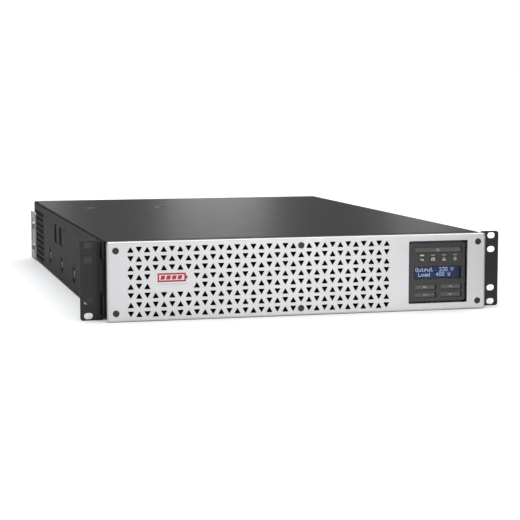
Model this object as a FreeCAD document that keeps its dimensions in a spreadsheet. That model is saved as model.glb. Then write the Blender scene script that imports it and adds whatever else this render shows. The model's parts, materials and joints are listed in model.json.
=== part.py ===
"""Rack-mounted uninterruptible power supply, 2U high, lithium-ion, as a parametric document.

Frame: millimetres, +X to the right seen from the front, +Y towards the back, +Z up. The origin
is the centre of the bounding box at the height of the surface that the unit stands on.
"""
import FreeCAD, Part
import math
import os
import re
import Sketcher

DIMENSIONS = {
    # the whole unit
    "body_width": 432.0,
    "body_height": 86.0,
    "chassis_depth": 638.2,
    "fascia_standoff": 22.7,
    "bracket_reach": 31.8,
    "sheet": 1.2,
    "gap": 0.2,
    # wrap-round cover and its embossed screw seats
    "cover_corner": 2.5,
    "skirt_z": 1.6,
    "dimple_radius": 11.8,
    "dimple_floor": 7.5,
    "dimple_depth": 1.8,
    "side_dimple_z": 23.6,
    "side_dimple_front": 228.0,
    "side_dimple_middle": 339.0,
    "side_dimple_back": 456.0,
    "top_dimple_y": 478.5,
    "top_dimple_left": -157.5,
    "top_dimple_right": -62.7,
    "seat_screw_radius": 2.0,
    # side vents, windows and small holes of the cover
    "vent_first_y": 531.0,
    "vent_first_z": 8.4,
    "vent_pitch": 9.1,
    "vent_row_pitch": 7.9,
    "vent_radius": 3.7,
    "vent_columns": 11,
    "vent_rows": 9,
    "window_z": 47.1,
    "window_height": 23.5,
    "window_front_y": 329.0,
    "window_back_y": 377.0,
    "window_length": 30.0,
    "small_hole": 1.8,
    # tray
    "tray_inset": 3.0,
    "tray_flange_height": 37.0,
    "tray_flange_length": 515.0,
    "front_wall_top": 84.2,
    "bay_margin": 16.0,
    "bay_bottom": 3.8,
    "bay_top": 81.0,
    "post_left": -8.0,
    "post_right": 5.0,
    # fascia and its perforation
    "fascia_thickness": 3.0,
    "fascia_bottom": 0.2,
    "fascia_corner": 3.2,
    "fascia_round": 2.2,
    "grid_columns": 33,
    "grid_rows": 8,
    "grid_pitch_x": 9.0,
    "grid_pitch_z": 9.9,
    "grid_left": -190.5,
    "grid_bottom": 8.2,
    "triangle_side": 7.3,
    "triangle_round": 0.55,
    "fascia_screw_x": 206.5,
    "fascia_screw_low": 9.5,
    "fascia_screw_high": 76.6,
    "middle_screw_x": -1.5,
    "middle_screw_low": 8.2,
    "middle_screw_high": 77.5,
    "screw_shank": 1.75,
    "screw_clearance": 1.9,
    "screw_head": 3.3,
    "screw_head_thickness": 1.6,
    "screw_seat": 3.7,
    "screw_recess": 0.8,
    # window of the display in the fascia
    "window_left": 123.85,
    "window_bottom": 8.4,
    "window_width": 70.0,
    "window_tall": 70.4,
    # bezel frame
    "frame_depth": 19.4,
    "frame_inset": 0.4,
    "frame_side": 6.6,
    "frame_wall": 3.0,
    "frame_shadow_gap": 2.7,
    "frame_band_depth": 6.0,
    "frame_step": 2.6,
    "boss_radius": 4.3,
    "rib_left": 118.4,
    "rib_thickness": 2.0,
    # air filter
    "filter_left": -199.0,
    "filter_width": 303.0,
    "filter_thickness": 1.8,
    # display module
    "face_recess": 2.4,
    "face_left": 125.4,
    "face_bottom": 10.7,
    "face_width": 66.5,
    "face_height": 65.4,
    "face_thickness": 2.4,
    "face_corner": 0.8,
    "module_depth": 8.3,
    "module_flange": 3.9,
    "module_flange_thickness": 2.0,
    "slot_width_power": 56.1,
    "slot_height": 6.2,
    "slot_width_key": 25.2,
    "power_x": 160.0,
    "power_z": 68.0,
    "key_left_x": 145.0,
    "key_right_x": 175.6,
    "key_upper_z": 26.2,
    "key_lower_z": 17.5,
    "button_clearance": 0.55,
    "button_recess": 2.0,
    "button_cap_depth": 1.4,
    "button_flange": 0.55,
    "button_flange_depth": 0.9,
    "button_stem": 1.5,
    "button_travel_room": 0.7,
    "led_pitch": 13.2,
    "led_first_x": 140.3,
    "led_z": 62.3,
    "led_width": 4.6,
    "led_height": 1.3,
    "lens_left": 130.60,
    "lens_bottom": 35.30,
    "lens_width": 56.60,
    "lens_height": 14.6,
    "lens_thickness": 2.0,
    "lcd_depth": 4.2,
    "board": 1.6,
    "switch_height": 1.1,
    "switch_size": 6.0,
    # rack ears, EIA-310 pattern for two units
    "rack_width": 482.6,
    "rack_hole_spacing": 465.1,
    "rack_inner_spacing": 44.45,
    "rack_outer_spacing": 76.2,
    "rack_pattern_z": 42.9,
    "rack_slot_length": 9.8,
    "rack_slot_height": 6.8,
    "ear_thickness": 2.0,
    "ear_corner": 3.0,
    "ear_flange_depth": 48.0,
    "ear_relief": 3.9,
    "ear_relief_depth": 12.0,
    "ear_relief_upper": 65.0,
    "ear_relief_upper_height": 22.0,
    "ear_relief_lower": 4.0,
    "ear_relief_lower_height": 24.0,
    "ear_slit_offset": 1.4,
    "ear_slit_width": 1.5,
    "ear_slit_bottom": 31.0,
    "ear_slit_height": 31.0,
    "ear_screw_front": 22.0,
    "ear_screw_back": 39.0,
    "ear_screw_low": 20.0,
    "ear_screw_high": 66.0,
    "ear_screw_shank": 1.9,
    # rear brackets
    "bracket_thickness": 1.6,
    "bracket_start": 618.0,
    "bracket_height": 70.0,
    "bracket_corner": 3.0,
    "bracket_window_start": 641.0,
    "bracket_window_length": 15.0,
    "bracket_window_low": 11.0,
    "bracket_window_high": 60.0,
    "bracket_screw_y": 630.0,
    "bracket_screw_low": 20.0,
    "bracket_screw_high": 51.5,
    "bracket_screw_head": 5.4,
    # rear panel and what it holds
    "panel_clearance": 0.3,
    "panel_flange": 12.0,
    "fan_size": 80.0,
    "fan_depth": 25.0,
    "fan_opening": 38.0,
    "fan_left_x": -164.0,
    "fan_right_x": -81.0,
    "fan_z": 43.0,
    "fan_hub": 18.0,
    "fan_tip": 36.8,
    "fan_shaft": 1.5,
    "fan_bearing": 1.55,
    "fan_hole_spacing": 71.5,
    "fan_hole": 2.0,
    "fan_strut": 3.0,
    "fan_strut_width": 4.0,
    "fan_boss": 4.5,
    "fan_cup_depth": 19.0,
    "fan_cup_start": 1.5,
    "fan_cup_wall": 2.0,
    "fan_blades": 7,
    "fan_blade_thickness": 1.8,
    "fan_blade_span": 24.0,
    "fan_blade_lean": 38.0,
    "fan_sweep": 17.0,
    "fan_shaft_length": 16.5,
    "guard_wire": 0.9,
    "bank_x": 33.0,
    "bank_upper_z": 61.0,
    "bank_lower_z": 27.0,
    "bank_width": 132.0,
    "bank_height": 24.0,
    "bank_depth": 21.0,
    "bank_pitch": 32.5,
    "lip": 2.0,
    "lip_thickness": 2.0,
    "socket_width": 25.4,
    "socket_height": 17.4,
    "socket_chamfer": 5.0,
    "socket_groove": 2.0,
    "socket_depth": 16.5,
    "contact_width": 2.6,
    "contact_height": 4.8,
    "contact_spacing": 14.0,
    "power_column_x": 125.0,
    "large_width": 36.0,
    "large_height": 28.0,
    "large_opening_width": 31.0,
    "large_opening_height": 22.0,
    "blade_width": 8.0,
    "blade_thickness": 2.0,
    "blade_spacing": 13.0,
    "card_x": 180.5,
    "card_z": 62.5,
    "card_width": 62.0,
    "card_height": 36.0,
    "card_plate": 1.5,
    "card_screw_inset": 3.0,
    "card_tongue_inset": 6.0,
    "card_tongue_rise": 4.0,
    "card_tongue_depth": 8.0,
    "panel_screw_head": 2.9,
    "panel_screw_thickness": 1.6,
    "port_z": 31.5,
    "port_depth": 16.0,
    "port_width": 13.4,
    "port_left_x": 161.0,
    "port_middle_x": 179.0,
    "port_right_x": 198.0,
    "port_lip": 0.6,
    "port_cavity": 12.0,
    "jack_width": 11.7,
    "jack_height": 7.6,
    "jack_notch_drop": 4.6,
    "jack_notch_width": 6.0,
    "jack_notch_height": 2.2,
    "usb_width": 8.6,
    "usb_height": 8.2,
    "usb_tongue_width": 5.4,
    "usb_tongue_height": 3.2,
    "usb_tongue_length": 11.0,
    "breaker_radius": 5.0,
    "breaker_button": 3.4,
    "breaker_left_x": 158.0,
    "breaker_right_x": 176.0,
    "breaker_z": 12.5,
    "breaker_depth": 26.0,
    "breaker_case_width": 14.0,
    "breaker_case_height": 18.0,
    "breaker_collar": 5.0,
    "breaker_nut": 2.6,
    "breaker_nut_margin": 2.4,
    "breaker_play": 0.15,
    "breaker_cavity": 10.0,
    "breaker_button_inside": 7.0,
    "breaker_button_length": 14.5,
    "terminal_x": 198.0,
    "terminal_width": 15.0,
    "terminal_height": 9.0,
    "terminal_depth": 12.0,
    "terminal_lip": 1.5,
    "terminal_cavity": 6.0,
    "terminal_pitch": 4.6,
    "terminal_hole_width": 3.2,
    "terminal_hole_height": 3.0,
    "port_height": 13.4,
    "ground_x": 103.0,
    "ground_z": 6.2,
    # battery modules
    "battery_left_x": -104.0,
    "battery_right_x": 102.5,
    "battery_width": 184.0,
    "battery_depth": 186.0,
    "battery_height": 74.0,
    "battery_wall": 1.6,
    "battery_start": 5.0,
    "manager_inset": 8.0,
    "manager_height": 62.0,
    "manager_start": 16.0,
    "cell_radius": 9.2,
    "cell_height": 65.0,
    "cell_pitch": 21.0,
    "cell_columns": 8,
    "cell_rows": 7,
    # electronics
    "board_left": -60.0,
    "board_width": 268.0,
    "board_start": 236.0,
    "board_length": 340.0,
    "board_z": 9.0,
    "transformer_x": -140.0,
    "transformer_start": 262.0,
    "core_width": 114.0,
    "core_length": 95.0,
    "core_stack": 60.0,
    "core_leg": 19.0,
    "coil_build": 9.0,
    "sink_length": 150.0,
    "sink_base": 5.0,
    "sink_fin": 30.0,
    "sink_height": 60.0,
    "sink_fin_thickness": 1.6,
    "sink_fins": 8,
    "sink_left_x": -30.0,
    "sink_right_x": 60.0,
    "sink_start": 300.0,
    "capacitor_radius": 15.0,
    "capacitor_height": 45.0,
    "choke_ring": 16.0,
    "choke_wire": 8.0,
    "control_z": 62.0,
    "control_left": 112.0,
    "control_start": 484.0,
    "control_width": 94.0,
    "control_length": 86.0,
    "control_chip": 2.0,
    "relay_left": -48.0,
    "relay_pitch": 36.0,
    "relay_start": 484.0,
    "choke_left": -20.0,
    "choke_pitch": 56.0,
    "choke_y": 530.0,
    "can_left": 118.0,
    "can_pitch": 34.0,
    "transistor_pitch": 28.0,
    "divider_start": 208.0,
    "divider_slot_pitch": 16.0,
}

V = FreeCAD.Vector
PLANES = {"XY": ("XY_Plane", 1), "XZ": ("XZ_Plane", -1), "YZ": ("YZ_Plane", 1)}
TURNS = {
    "+X": FreeCAD.Rotation(V(0, 1, 0), 90),
    "-X": FreeCAD.Rotation(V(0, 1, 0), -90),
    "+Y": FreeCAD.Rotation(V(1, 0, 0), -90),
    "-Y": FreeCAD.Rotation(V(1, 0, 0), 90),
    "+Z": FreeCAD.Rotation(),
    "-Z": FreeCAD.Rotation(V(1, 0, 0), 180),
}
FRONT_Y = "(-(fascia_standoff + chassis_depth + bracket_reach) / 2)"
EAR_Y = f"({FRONT_Y} + fascia_standoff)"
REAR_Y = f"({EAR_Y} + chassis_depth)"
SIDES = {"left": -1, "right": 1}

doc = FreeCAD.newDocument("UninterruptiblePowerSupply")
dims = doc.addObject("Spreadsheet::Sheet", "Dims")
for row, (alias, number) in enumerate(DIMENSIONS.items(), start=1):
    dims.set(f"A{row}", alias)
    dims.set(f"B{row}", str(number))
    dims.setAlias(f"B{row}", alias)
doc.recompute()
nodes = []


# ---------------------------------------------------------------- helpers
def value(expression):
    """The number that an expression of the sheet's names gives now."""
    return float(dims.evalExpression(str(expression)))


def bound(expression):
    """The same expression as other objects of the document have to write it."""
    return re.sub(r"[A-Za-z_]\w*", r"Dims.\g<0>", str(expression))


def keep(thing, label):
    """Mark an object as a finished sub-part."""
    thing.Label = label
    nodes.append(thing)
    return thing


def place(thing, x, y, z):
    for axis, expression in zip("xyz", (x, y, z)):
        thing.setExpression(f".Placement.Base.{axis}", bound(expression))


def block(x, y, z, width, depth, height):
    """A box from its lowest corner."""
    box = doc.addObject("Part::Box", "Block")
    for side, expression in (("Length", width), ("Width", depth), ("Height", height)):
        box.setExpression(side, bound(expression))
    place(box, x, y, z)
    return box


def rod(axis, x, y, z, radius, length):
    """A cylinder from the centre of its first end, along a signed axis."""
    cylinder = doc.addObject("Part::Cylinder", "Rod")
    cylinder.setExpression("Radius", bound(radius))
    cylinder.setExpression("Height", bound(length))
    cylinder.Placement = FreeCAD.Placement(V(), TURNS[axis])
    place(cylinder, x, y, z)
    return cylinder


def cone(axis, x, y, z, radius, end_radius, length):
    frustum = doc.addObject("Part::Cone", "Frustum")
    frustum.setExpression("Radius1", bound(radius))
    frustum.setExpression("Radius2", bound(end_radius))
    frustum.setExpression("Height", bound(length))
    frustum.Placement = FreeCAD.Placement(V(), TURNS[axis])
    place(frustum, x, y, z)
    return frustum


def ring(axis, x, y, z, radius, wire):
    torus = doc.addObject("Part::Torus", "Ring")
    torus.setExpression("Radius1", bound(radius))
    torus.setExpression("Radius2", bound(wire))
    torus.Placement = FreeCAD.Placement(V(), TURNS[axis])
    place(torus, x, y, z)
    return torus


def fuse(parts):
    joined = doc.addObject("Part::MultiFuse", "Joined")
    joined.Shapes = parts
    return joined


def cut(base, tools):
    left = doc.addObject("Part::Cut", "Cut")
    left.Base = base
    left.Tool = tools[0] if len(tools) == 1 else fuse(tools)
    return left


def group(parts):
    """Separate solids kept as one object."""
    compound = doc.addObject("Part::Compound", "Group")
    compound.Links = parts
    return compound


def tie(sketch, kind, where, expression):
    """Add a dimension to a sketch and bind it to the sheet."""
    index = sketch.addConstraint(Sketcher.Constraint(kind, *where, value(expression)))
    sketch.setExpression(f"Constraints[{index}]", bound(expression))


def line(start, end):
    return Part.LineSegment(V(*start, 0), V(*end, 0))


def arc(centre, radius, start_degrees, end_degrees):
    circle = Part.Circle(V(*centre, 0), V(0, 0, 1), radius)
    return Part.ArcOfCircle(circle, math.radians(start_degrees), math.radians(end_degrees))


def rect(left, bottom, width, height, corner=None):
    """A rectangle, or one with round corners, fully constrained."""
    def draw(sketch):
        low_x, low_y = value(left), value(bottom)
        high_x, high_y = low_x + value(width), low_y + value(height)
        r = value(corner) if corner else 0
        sides = [
            line((low_x + r, low_y), (high_x - r, low_y)),
            line((high_x, low_y + r), (high_x, high_y - r)),
            line((high_x - r, high_y), (low_x + r, high_y)),
            line((low_x, high_y - r), (low_x, low_y + r)),
        ]
        first = sketch.addGeometry(sides, False)[0]
        if corner:
            centres = [
                (high_x - r, low_y + r),
                (high_x - r, high_y - r),
                (low_x + r, high_y - r),
                (low_x + r, low_y + r),
            ]
            arcs = [arc(centre, r, 90 * k - 90, 90 * k) for k, centre in enumerate(centres)]
            bend = sketch.addGeometry(arcs, False)[0]
            for k in range(4):
                following = first + (k + 1) % 4
                sketch.addConstraint(Sketcher.Constraint("Tangent", first + k, 2, bend + k, 1))
                sketch.addConstraint(Sketcher.Constraint("Tangent", bend + k, 2, following, 1))
            for k in range(1, 4):
                sketch.addConstraint(Sketcher.Constraint("Equal", bend, bend + k))
            tie(sketch, "Radius", (bend,), corner)
        else:
            for k in range(4):
                following = first + (k + 1) % 4
                sketch.addConstraint(Sketcher.Constraint("Coincident", first + k, 2, following, 1))
        for k, kind in enumerate(("Horizontal", "Vertical", "Horizontal", "Vertical")):
            sketch.addConstraint(Sketcher.Constraint(kind, first + k))
        tie(sketch, "DistanceX", (-1, 1, first + 3, 1), left)
        tie(sketch, "DistanceY", (-1, 1, first, 1), bottom)
        tie(sketch, "DistanceX", (first + 3, 1, first + 1, 1), width)
        tie(sketch, "DistanceY", (first, 1, first + 2, 1), height)
    return draw


def centred(x, y, width, height, corner=None):
    return rect(f"{x} - ({width}) / 2", f"{y} - ({height}) / 2", width, height, corner)


def disc(x, y, radius):
    def draw(sketch):
        circle = Part.Circle(V(value(x), value(y), 0), V(0, 0, 1), value(radius))
        index = sketch.addGeometry(circle, False)
        tie(sketch, "DistanceX", (-1, 1, index, 3), x)
        tie(sketch, "DistanceY", (-1, 1, index, 3), y)
        tie(sketch, "Radius", (index,), radius)
    return draw


def slot(x, y, length, height):
    """A slot with round ends, long side along the sketch's first axis."""
    def draw(sketch):
        half = (value(length) - value(height)) / 2
        r = value(height) / 2
        cx, cy = value(x), value(y)
        shapes = [
            line((cx - half, cy - r), (cx + half, cy - r)),
            arc((cx + half, cy), r, -90, 90),
            line((cx + half, cy + r), (cx - half, cy + r)),
            arc((cx - half, cy), r, 90, 270),
        ]
        first = sketch.addGeometry(shapes, False)[0]
        for k in range(4):
            following = first + (k + 1) % 4
            sketch.addConstraint(Sketcher.Constraint("Tangent", first + k, 2, following, 1))
        sketch.addConstraint(Sketcher.Constraint("Horizontal", first))
        sketch.addConstraint(Sketcher.Constraint("Equal", first + 1, first + 3))
        tie(sketch, "DistanceX", (-1, 1, first + 3, 3), f"{x} - ({length} - {height}) / 2")
        tie(sketch, "DistanceY", (-1, 1, first + 3, 3), y)
        tie(sketch, "DistanceX", (first + 3, 3, first + 1, 3), f"{length} - {height}")
        tie(sketch, "Radius", (first + 1,), f"{height} / 2")
    return draw


def polygon(points):
    """A closed outline through corners that are each bound to the sheet."""
    def draw(sketch):
        numbers = [(value(x), value(y)) for x, y in points]
        count = len(points)
        lines = [line(numbers[k], numbers[(k + 1) % count]) for k in range(count)]
        first = sketch.addGeometry(lines, False)[0]
        for k, (x, y) in enumerate(points):
            following = first + (k + 1) % count
            sketch.addConstraint(Sketcher.Constraint("Coincident", first + k, 2, following, 1))
            tie(sketch, "DistanceX", (-1, 1, first + k, 1), x)
            tie(sketch, "DistanceY", (-1, 1, first + k, 1), y)
    return draw


def hexagon(x, y, reach):
    """A hexagon from its centre and the distance to its corners."""
    corners = [(round(math.cos(math.pi * k / 3), 6), round(math.sin(math.pi * k / 3), 6)) for k in range(6)]
    return polygon([(f"{x} + ({reach}) * {across}", f"{y} + ({reach}) * {up}") for across, up in corners])


def rows_of_discs(points, radius):
    """Many equal circles, placed from numbers worked out from the sheet."""
    def draw(sketch):
        circles = [Part.Circle(V(x, y, 0), V(0, 0, 1), radius) for x, y in points]
        sketch.addGeometry(circles, False)
    return draw


def rounded_triangle(x, y, side, r, upward):
    """Edges of an equilateral triangle with round corners, its height centred on (x, y)."""
    height = side * math.sqrt(3) / 2
    turn = 1 if upward else -1
    centroid_y = y - turn * height / 6
    reach = side / math.sqrt(3) - 2 * r
    centres = []
    for k in range(3):
        angle = math.radians(90 * turn + 120 * k)
        centres.append((x + reach * math.cos(angle), centroid_y + reach * math.sin(angle)))
    edges = []
    for k in range(3):
        here, following = centres[k], centres[(k + 1) % 3]
        outward = 90 * turn + 120 * k + 60
        shift = (r * math.cos(math.radians(outward)), r * math.sin(math.radians(outward)))
        edges.append(arc(here, r, outward - 120, outward))
        start = (here[0] + shift[0], here[1] + shift[1])
        end = (following[0] + shift[0], following[1] + shift[1])
        edges.append(line(start, end))
    return edges


def new_body(label):
    return keep(doc.addObject("PartDesign::Body", label), label)


def outline(body, plane, at, shapes):
    """A sketch of a body on a plane parallel to one of its origin planes."""
    role, facing = PLANES[plane]
    sketch = body.newObject("Sketcher::SketchObject", "Outline")
    support = next(item for item in body.Origin.OriginFeatures if item.Role == role)
    sketch.AttachmentSupport = [(support, "")]
    sketch.MapMode = "FlatFace"
    sketch.setExpression("AttachmentOffset.Base.z", bound(f"{facing} * ({at})"))
    for draw in shapes:
        draw(sketch)
    return sketch


def pad(body, plane, at, length, *shapes):
    """Add material from a plane towards the positive axis."""
    feature = body.newObject("PartDesign::Pad", "Pad")
    feature.Profile = outline(body, plane, at, shapes)
    feature.setExpression("Length", bound(length))
    feature.Reversed = PLANES[plane][1] < 0
    doc.recompute()
    return feature


def pocket(body, plane, at, length, *shapes):
    """Take material away from a plane towards the positive axis."""
    before = body.Shape.Volume
    feature = body.newObject("PartDesign::Pocket", "Pocket")
    feature.Profile = outline(body, plane, at, shapes)
    feature.setExpression("Length", bound(length))
    feature.Reversed = PLANES[plane][1] > 0
    doc.recompute()
    if body.Shape.Volume > before - 0.001:
        raise RuntimeError(f"a pocket of {body.Label} cut nothing")
    return feature


# ---------------------------------------------------------------- fasteners
def screw_master(name, head, thickness, shank, length, cross):
    """A pan-head screw pointing down -Z, the top of its head at the origin."""
    body = doc.addObject("PartDesign::Body", name)
    pad(body, "XY", f"-({thickness})", thickness, disc("0", "0", head))
    pad(body, "XY", f"-({thickness} + {length})", length, disc("0", "0", shank))
    arms = (centred("0", "0", cross, "0.9"), centred("0", "0", "0.9", cross))
    for arm in arms:
        pocket(body, "XY", "-0.9", "2", arm)
    return body


def fasteners(label, master, seats):
    """Copies of a master screw; each seat is the head's outer centre and where it faces."""
    copies = []
    for x, y, z, facing in seats:
        copy = master.Shape.copy()
        copy.Placement = FreeCAD.Placement(V(value(x), value(y), value(z)), TURNS[facing])
        copies.append(copy)
    feature = doc.addObject("Part::Feature", label)
    feature.Shape = Part.makeCompound(copies)
    return keep(feature, label)


fascia_screw = screw_master("FasciaScrewMaster", "screw_head", "screw_head_thickness", "screw_shank",
                            "fascia_standoff + 0.3", "4")
seat_screw = screw_master("SeatScrewMaster", "4.4", "1.5", "seat_screw_radius", "6", "5.2")
ear_screw = screw_master("EarScrewMaster", "3.6", "1.3", "ear_screw_shank", "6", "4.4")
bracket_screw = screw_master("BracketScrewMaster", "bracket_screw_head", "2.8", "seat_screw_radius", "8",
                             "6.4")
fan_screw = screw_master("FanScrewMaster", "3.4", "1.8", "1.9", "8", "4.2")
panel_screw = screw_master("PanelScrewMaster", "panel_screw_head", "panel_screw_thickness", "1.45", "6",
                           "3.6")


# ---------------------------------------------------------------- cover
def seat(axis, x, y, z):
    """The boss and the hollow of one embossed screw seat, entered along the axis."""
    step = {"+X": ("0.6", "0", "0"), "-X": ("-0.6", "0", "0"), "-Z": ("0", "0", "-0.6")}[axis]
    inside = [f"{base} + {shift}" for base, shift in zip((x, y, z), step)]
    boss = cone(axis, *inside, "dimple_radius + 0.9", "dimple_floor + 0.9", "dimple_depth + sheet - 0.6")
    hollow = cone(axis, x, y, z, "dimple_radius", "dimple_floor", "dimple_depth")
    hole = rod(axis, x, y, z, "seat_screw_radius + 0.1", "dimple_depth + sheet + 1")
    return boss, hollow, hole


def vent_centres():
    points = []
    for row in range(int(value("vent_rows"))):
        shift = (row % 2) / 2
        for column in range(int(value("vent_columns")) - row % 2):
            y = value(f"{EAR_Y} + vent_first_y") + (column + shift) * value("vent_pitch")
            points.append((y, value("vent_first_z") + row * value("vent_row_pitch")))
    return points


SIDE_SEATS = ("side_dimple_front", "side_dimple_middle", "side_dimple_back")
TOP_SEATS = ("top_dimple_left", "top_dimple_right")
SMALL_HOLES = (("192", "75"), ("192", "10"), ("309", "70"), ("315", "70"), ("41", "78"))


def make_cover():
    body = doc.addObject("PartDesign::Body", "CoverSheet")
    outer = rect("-body_width / 2", "0", "body_width", "body_height", "cover_corner")
    pad(body, "XZ", EAR_Y, "chassis_depth", outer)
    inner = rect("sheet - body_width / 2", "-5", "body_width - 2 * sheet",
                 "body_height + 5 - sheet", "cover_corner - sheet")
    pocket(body, "XZ", f"{EAR_Y} - 1", "chassis_depth + 2", inner)
    below = rect("-body_width / 2 - 1", "-10", "body_width + 2", "10 + skirt_z")
    pocket(body, "XZ", f"{EAR_Y} - 1", "chassis_depth + 2", below)
    openings = [rows_of_discs(vent_centres(), value("vent_radius"))]
    for start in ("window_front_y", "window_back_y"):
        openings.append(rect(f"{EAR_Y} + {start}", "window_z", "window_length", "window_height", "1"))
    openings += [disc(f"{EAR_Y} + {y}", z, "small_hole") for y, z in SMALL_HOLES]
    ear_holes = [disc(f"{EAR_Y} + {y}", z, "ear_screw_shank + 0.1")
                 for y in ("ear_screw_front", "ear_screw_back")
                 for z in ("ear_screw_low", "ear_screw_high")]
    bracket_holes = [disc(f"{EAR_Y} + bracket_screw_y", z, "seat_screw_radius + 0.1")
                     for z in ("bracket_screw_low", "bracket_screw_high")]
    for start in ("-body_width / 2 - 1", "body_width / 2 - sheet - 1"):
        pocket(body, "YZ", start, "sheet + 2", *openings, *ear_holes, *bracket_holes)
    parts = []
    for name in SIDE_SEATS:
        parts.append(seat("+X", "-body_width / 2", f"{EAR_Y} + {name}", "side_dimple_z"))
        parts.append(seat("-X", "body_width / 2", f"{EAR_Y} + {name}", "side_dimple_z"))
    for name in TOP_SEATS:
        parts.append(seat("-Z", name, f"{EAR_Y} + top_dimple_y", "body_height"))
    raised = fuse([body] + [boss for boss, hollow, hole in parts])
    tools = [tool for boss, hollow, hole in parts for tool in (hollow, hole)]
    return keep(cut(raised, tools), "top_cover")


make_cover()
head_out = "(dimple_depth - 1.5)"
cover_seats = [(f"{sign} * (body_width / 2 - {head_out})", f"{EAR_Y} + {name}", "side_dimple_z",
                "+X" if sign > 0 else "-X") for sign in SIDES.values() for name in SIDE_SEATS]
cover_seats += [(name, f"{EAR_Y} + top_dimple_y", f"body_height - {head_out}", "+Z") for name in TOP_SEATS]
fasteners("cover_screws", seat_screw, cover_seats)

brace = new_body("cover_brace")
brace_top = "body_height - dimple_depth - sheet"
pad(brace, "YZ", "top_dimple_left - 18", "top_dimple_right - top_dimple_left + 36",
    polygon([(f"{EAR_Y} + top_dimple_y - 14", f"{brace_top} - 12"),
             (f"{EAR_Y} + top_dimple_y - 14 + sheet", f"{brace_top} - 12"),
             (f"{EAR_Y} + top_dimple_y - 14 + sheet", f"{brace_top} - sheet"),
             (f"{EAR_Y} + top_dimple_y + 14", f"{brace_top} - sheet"),
             (f"{EAR_Y} + top_dimple_y + 14", brace_top),
             (f"{EAR_Y} + top_dimple_y - 14", brace_top)]))
pocket(brace, "XY", f"{brace_top} - 3", "5",
       *[disc(name, f"{EAR_Y} + top_dimple_y", "seat_screw_radius + 0.1") for name in TOP_SEATS])


# ---------------------------------------------------------------- tray
FASCIA_SCREWS = [(f"{sign} * fascia_screw_x", z) for sign in SIDES.values()
                 for z in ("fascia_screw_low", "fascia_screw_high")]
FASCIA_SCREWS += [("middle_screw_x", z) for z in ("middle_screw_low", "middle_screw_high")]
flange_x = "(body_width / 2 - tray_inset)"

tray = new_body("chassis_tray")
pad(tray, "XY", "0", "sheet", rect("-body_width / 2", EAR_Y, "body_width", "chassis_depth"))
for start in (f"-{flange_x}", f"{flange_x} - sheet"):
    pad(tray, "YZ", start, "sheet", rect(EAR_Y, "0", "tray_flange_length", "tray_flange_height"))
pad(tray, "XZ", EAR_Y, "sheet", rect(f"-{flange_x}", "0", f"2 * {flange_x}", "front_wall_top"))
pocket(tray, "XZ", f"{EAR_Y} - 1", "sheet + 2",
       rect(f"bay_margin - {flange_x}", "bay_bottom", f"{flange_x} - bay_margin + post_left",
            "bay_top - bay_bottom", "3"),
       rect("post_right", "bay_bottom", f"{flange_x} - bay_margin - post_right",
            "bay_top - bay_bottom", "3"),
       *[disc(x, z, "screw_clearance") for x, z in FASCIA_SCREWS])
tray_holes = [disc(f"{EAR_Y} + {name}", "side_dimple_z", "seat_screw_radius + 0.1") for name in SIDE_SEATS]
tray_holes += [disc(f"{EAR_Y} + {y}", "ear_screw_low", "ear_screw_shank + 0.1")
               for y in ("ear_screw_front", "ear_screw_back")]
for start in (f"-{flange_x} - 1", f"{flange_x} - sheet - 1"):
    pocket(tray, "YZ", start, "sheet + 2", *tray_holes)

insulators = [block(f"{sign} * (body_width / 2 - sheet - 0.6) - 0.4", f"{EAR_Y} + window_front_y - 8",
                    "tray_flange_height + 1", "0.8",
                    "window_back_y - window_front_y + window_length + 16", "42")
              for sign in SIDES.values()]
keep(group(insulators), "window_insulators")


# ---------------------------------------------------------------- fascia
def perforation():
    """Triangles in rows, pointing up and down by turns, none behind the emblem or the middle screws."""
    def draw(sketch):
        side, r = value("triangle_side"), value("triangle_round")
        columns, rows = int(value("grid_columns")), int(value("grid_rows"))
        middle = round((value("middle_screw_x") - value("grid_left")) / value("grid_pitch_x"))
        edges = []
        for row in range(rows):
            for column in range(columns):
                at_screw = column == middle and row in (0, rows - 1)
                at_emblem = 3 <= column <= 7 and row in (rows // 2 - 1, rows // 2)
                if at_screw or at_emblem:
                    continue
                x = value("grid_left") + column * value("grid_pitch_x")
                z = value("grid_bottom") + row * value("grid_pitch_z")
                edges += rounded_triangle(x, z, side, r, upward=(row + column) % 2 == 1)
        sketch.addGeometry(edges, False)
    return draw


fascia = new_body("front_fascia")
plate = pad(fascia, "XZ", FRONT_Y, "fascia_thickness",
            rect("-body_width / 2", "fascia_bottom", "body_width", "body_height", "fascia_corner"))
front_edges = [f"Edge{k}" for k, edge in enumerate(plate.Shape.Edges, start=1)
               if abs(edge.BoundBox.YMax - value(FRONT_Y)) < 0.001]
rounding = fascia.newObject("PartDesign::Fillet", "FrontRounding")
rounding.Base = (plate, front_edges)
rounding.setExpression("Radius", bound("fascia_round"))
doc.recompute()
pocket(fascia, "XZ", f"{FRONT_Y} - 1", "fascia_thickness + 2",
       rect("window_left", "window_bottom", "window_width", "window_tall", "1.2"))
pocket(fascia, "XZ", f"{FRONT_Y} - 1", "fascia_thickness + 2",
       *[disc(x, z, "screw_clearance") for x, z in FASCIA_SCREWS])
pocket(fascia, "XZ", f"{FRONT_Y} - 1", "1 + screw_recess + screw_head_thickness",
       *[disc(x, z, "screw_seat") for x, z in FASCIA_SCREWS])
pocket(fascia, "XZ", f"{FRONT_Y} - 1", "fascia_thickness + 2", perforation())
fasteners("fascia_screws", fascia_screw,
          [(x, f"{FRONT_Y} + screw_recess", z, "-Y") for x, z in FASCIA_SCREWS])


# ---------------------------------------------------------------- bezel frame and filter
BEHIND_FASCIA = f"({FRONT_Y} + fascia_thickness + 0.05)"
frame_half = "(body_width / 2 - frame_inset)"
frame_low = "(fascia_bottom + frame_inset)"
frame_tall = "(body_height - 2 * frame_inset)"

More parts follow.
